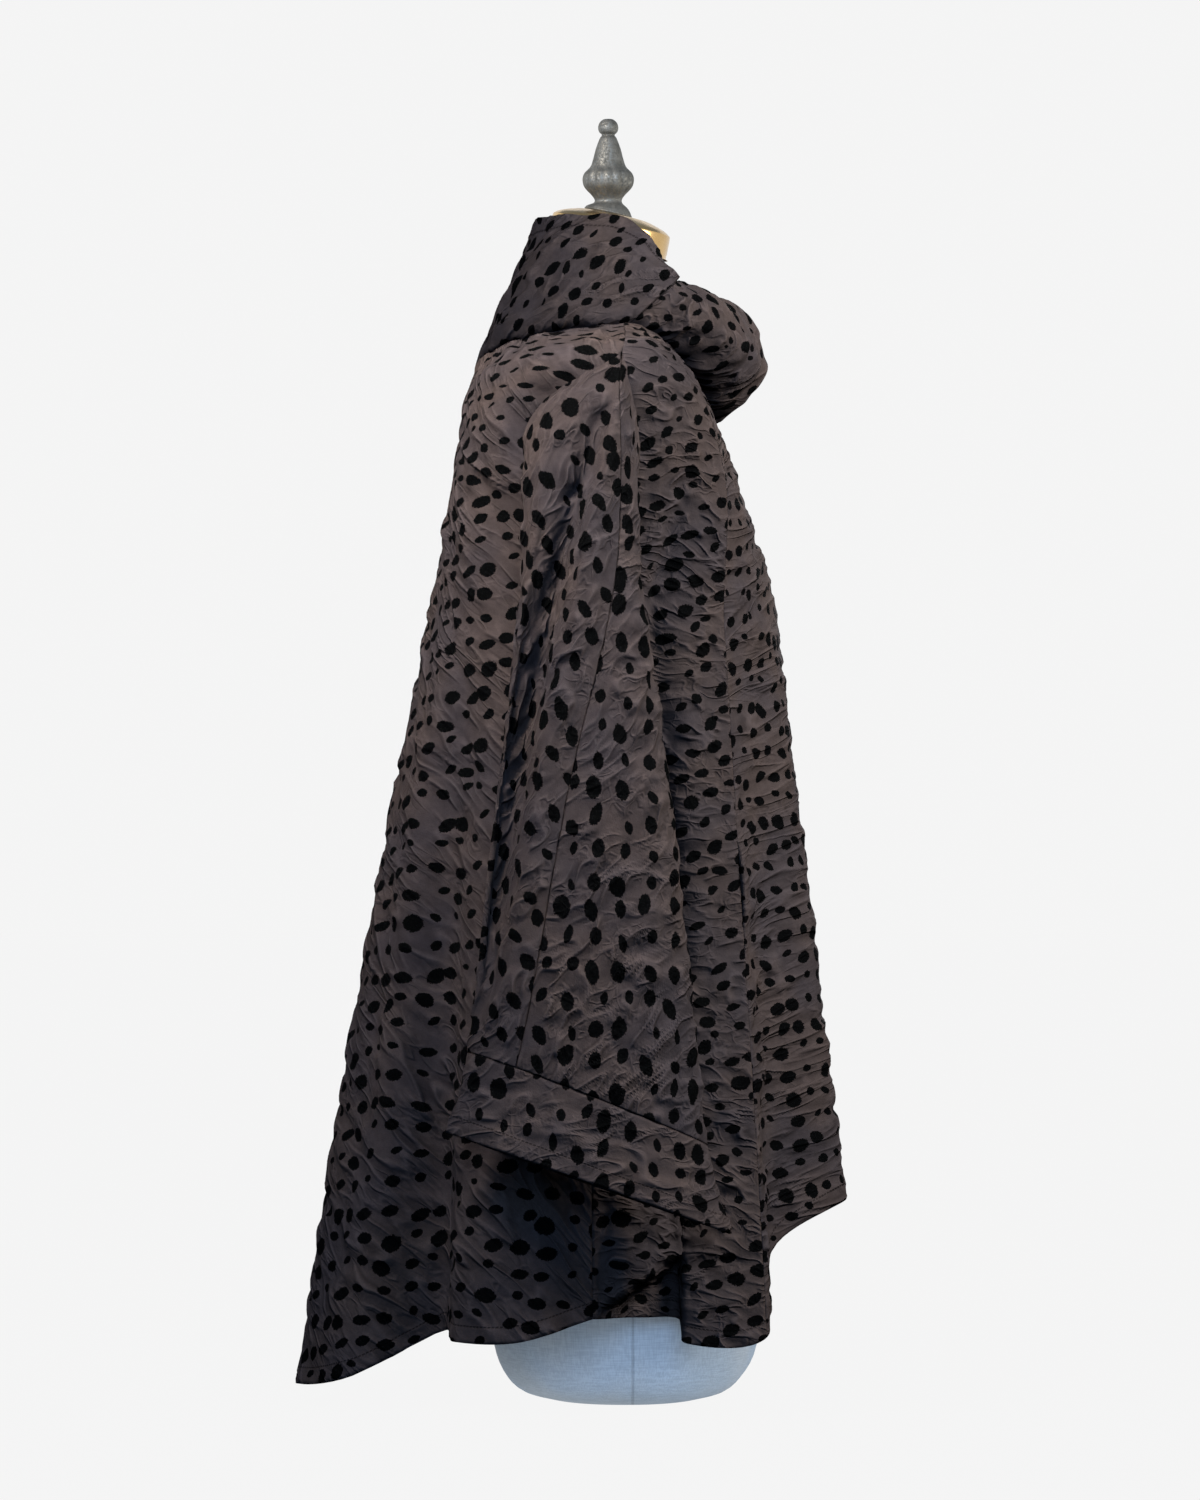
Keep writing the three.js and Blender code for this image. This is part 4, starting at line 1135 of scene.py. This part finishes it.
def make_stage():
    """A plain pale floor and wall, which glow softly but leave the lighting of the cloth to the lamps."""
    angles = np.linspace(0, 2 * math.pi, ROOM_SIDES, endpoint=False)
    ring = [(ROOM * math.cos(a), ROOM * math.sin(a)) for a in angles]
    bottom = list(range(ROOM_SIDES))
    panels = [(k, k + ROOM_SIDES, (k + 1) % ROOM_SIDES + ROOM_SIDES, (k + 1) % ROOM_SIDES) for k in bottom]
    paint, _, inputs = material("pale_paint", roughness=1, specular=0)
    connect(inputs["Base Color"], DULL)
    connect(inputs["Emission Color"], PALE)
    connect(inputs["Emission Strength"], 1)
    lit = bpy.data.collections.new("lit by the room")
    for name, heights, faces in (("floor", [0], [bottom]), ("wall", [0, ROOM_HEIGHT], panels)):
        mesh = bpy.data.meshes.new(name)
        mesh.from_pydata([(x, y, z) for z in heights for x, y in ring], [], faces)
        mesh.materials.append(paint)
        piece = placed(name, mesh)
        lit.objects.link(piece)
        piece.light_linking.receiver_collection = lit
    world = bpy.data.worlds.new("studio")
    world.use_nodes = True
    background = world.node_tree.nodes["Background"]
    connect(background.inputs["Color"], SKY)
    connect(background.inputs["Strength"], 1)
    bpy.context.scene.world = world
    return lit


def make_light(name, place, target, size, power, colour, lights=None, spread=180):
    """A round lamp that faces its target and lights one collection, or everything."""
    way = Vector((np.array(target) - np.array(place)).tolist())
    data = given(bpy.data.lights.new(name, "AREA"), shape="DISK", size=size, energy=power, color=colour,
                 spread=math.radians(spread))
    light = given(placed(name, data), location=place, visible_camera=False, rotation_mode="QUATERNION",
                  rotation_quaternion=way.to_track_quat("-Z", "Y"))
    light.light_linking.receiver_collection = lights


def make_camera():
    data = given(bpy.data.cameras.new("camera"), sensor_fit="VERTICAL", sensor_height=36, sensor_width=28.8,
                 lens=192.8, clip_end=200)
    bpy.context.scene.camera = given(placed("camera", data), location=(-6.5, 0.0194, 0.52),
                                     rotation_euler=(math.pi / 2, 0, -math.pi / 2))


make_camera()
lit_by_room = make_stage()
WARM, BELOW_COLLAR = (1, 0.87, 0.75), bpy.data.collections.new("below the collar")
LAMPS = table(
    "name place target size power colour lights spread",
    ("key", (-0.85, 0.72, 1.54), (-0.1, 0, 0.6), 0.5, 22, WARM),
    ("low front", (-0.9, -2.2, 0.8), (0, 0, 0.2), 1, 30, (1, 0.92, 0.84), lit_by_room),
    ("front", (-0.75, -1.25, 1.45), (0, 0, 0.7), 0.8, 50, (1, 0.91, 0.82), WORN, 130),
    ("side", (-4, -0.2, 1.9), (0, 0, 0.6), 2.5, 104, (0.44, 0.66, 1)),
    ("back", (-1.6, 3.2, 1.5), (0, 0, 0.4), 2, 44, (0.36, 0.6, 1)),
    ("far side", (4, -0.6, 1.9), (0, 0, 0.5), 2.5, 180, (0.95, 0.95, 1), WORN),
    ("upper back", (-0.75, 0.8, 1.55), (-0.13, 0.1, 0.86), 0.4, 5.2, WARM, BELOW_COLLAR, 48),
)
for lamp in LAMPS:
    make_light(**lamp)
make_poncho(make_knit())
for worn in WORN.objects:
    if not worn.name.startswith("collar"):
        BELOW_COLLAR.objects.link(worn)
METALS = table(
    "name light dark roughness spots",
    ("cap_metal", (0.68, 0.46, 0.2, 1), (0.54, 0.36, 0.15, 1), 0.2, 40),
    ("finial_metal", (0.185, 0.185, 0.17, 1), (0.12, 0.12, 0.109, 1), 0.66, 130),
)
for part in make_form(make_linen(), *[make_metal(**metal) for metal in METALS]):
    lit_by_room.objects.link(part)
bpy.context.scene.view_settings.view_transform = "Standard"
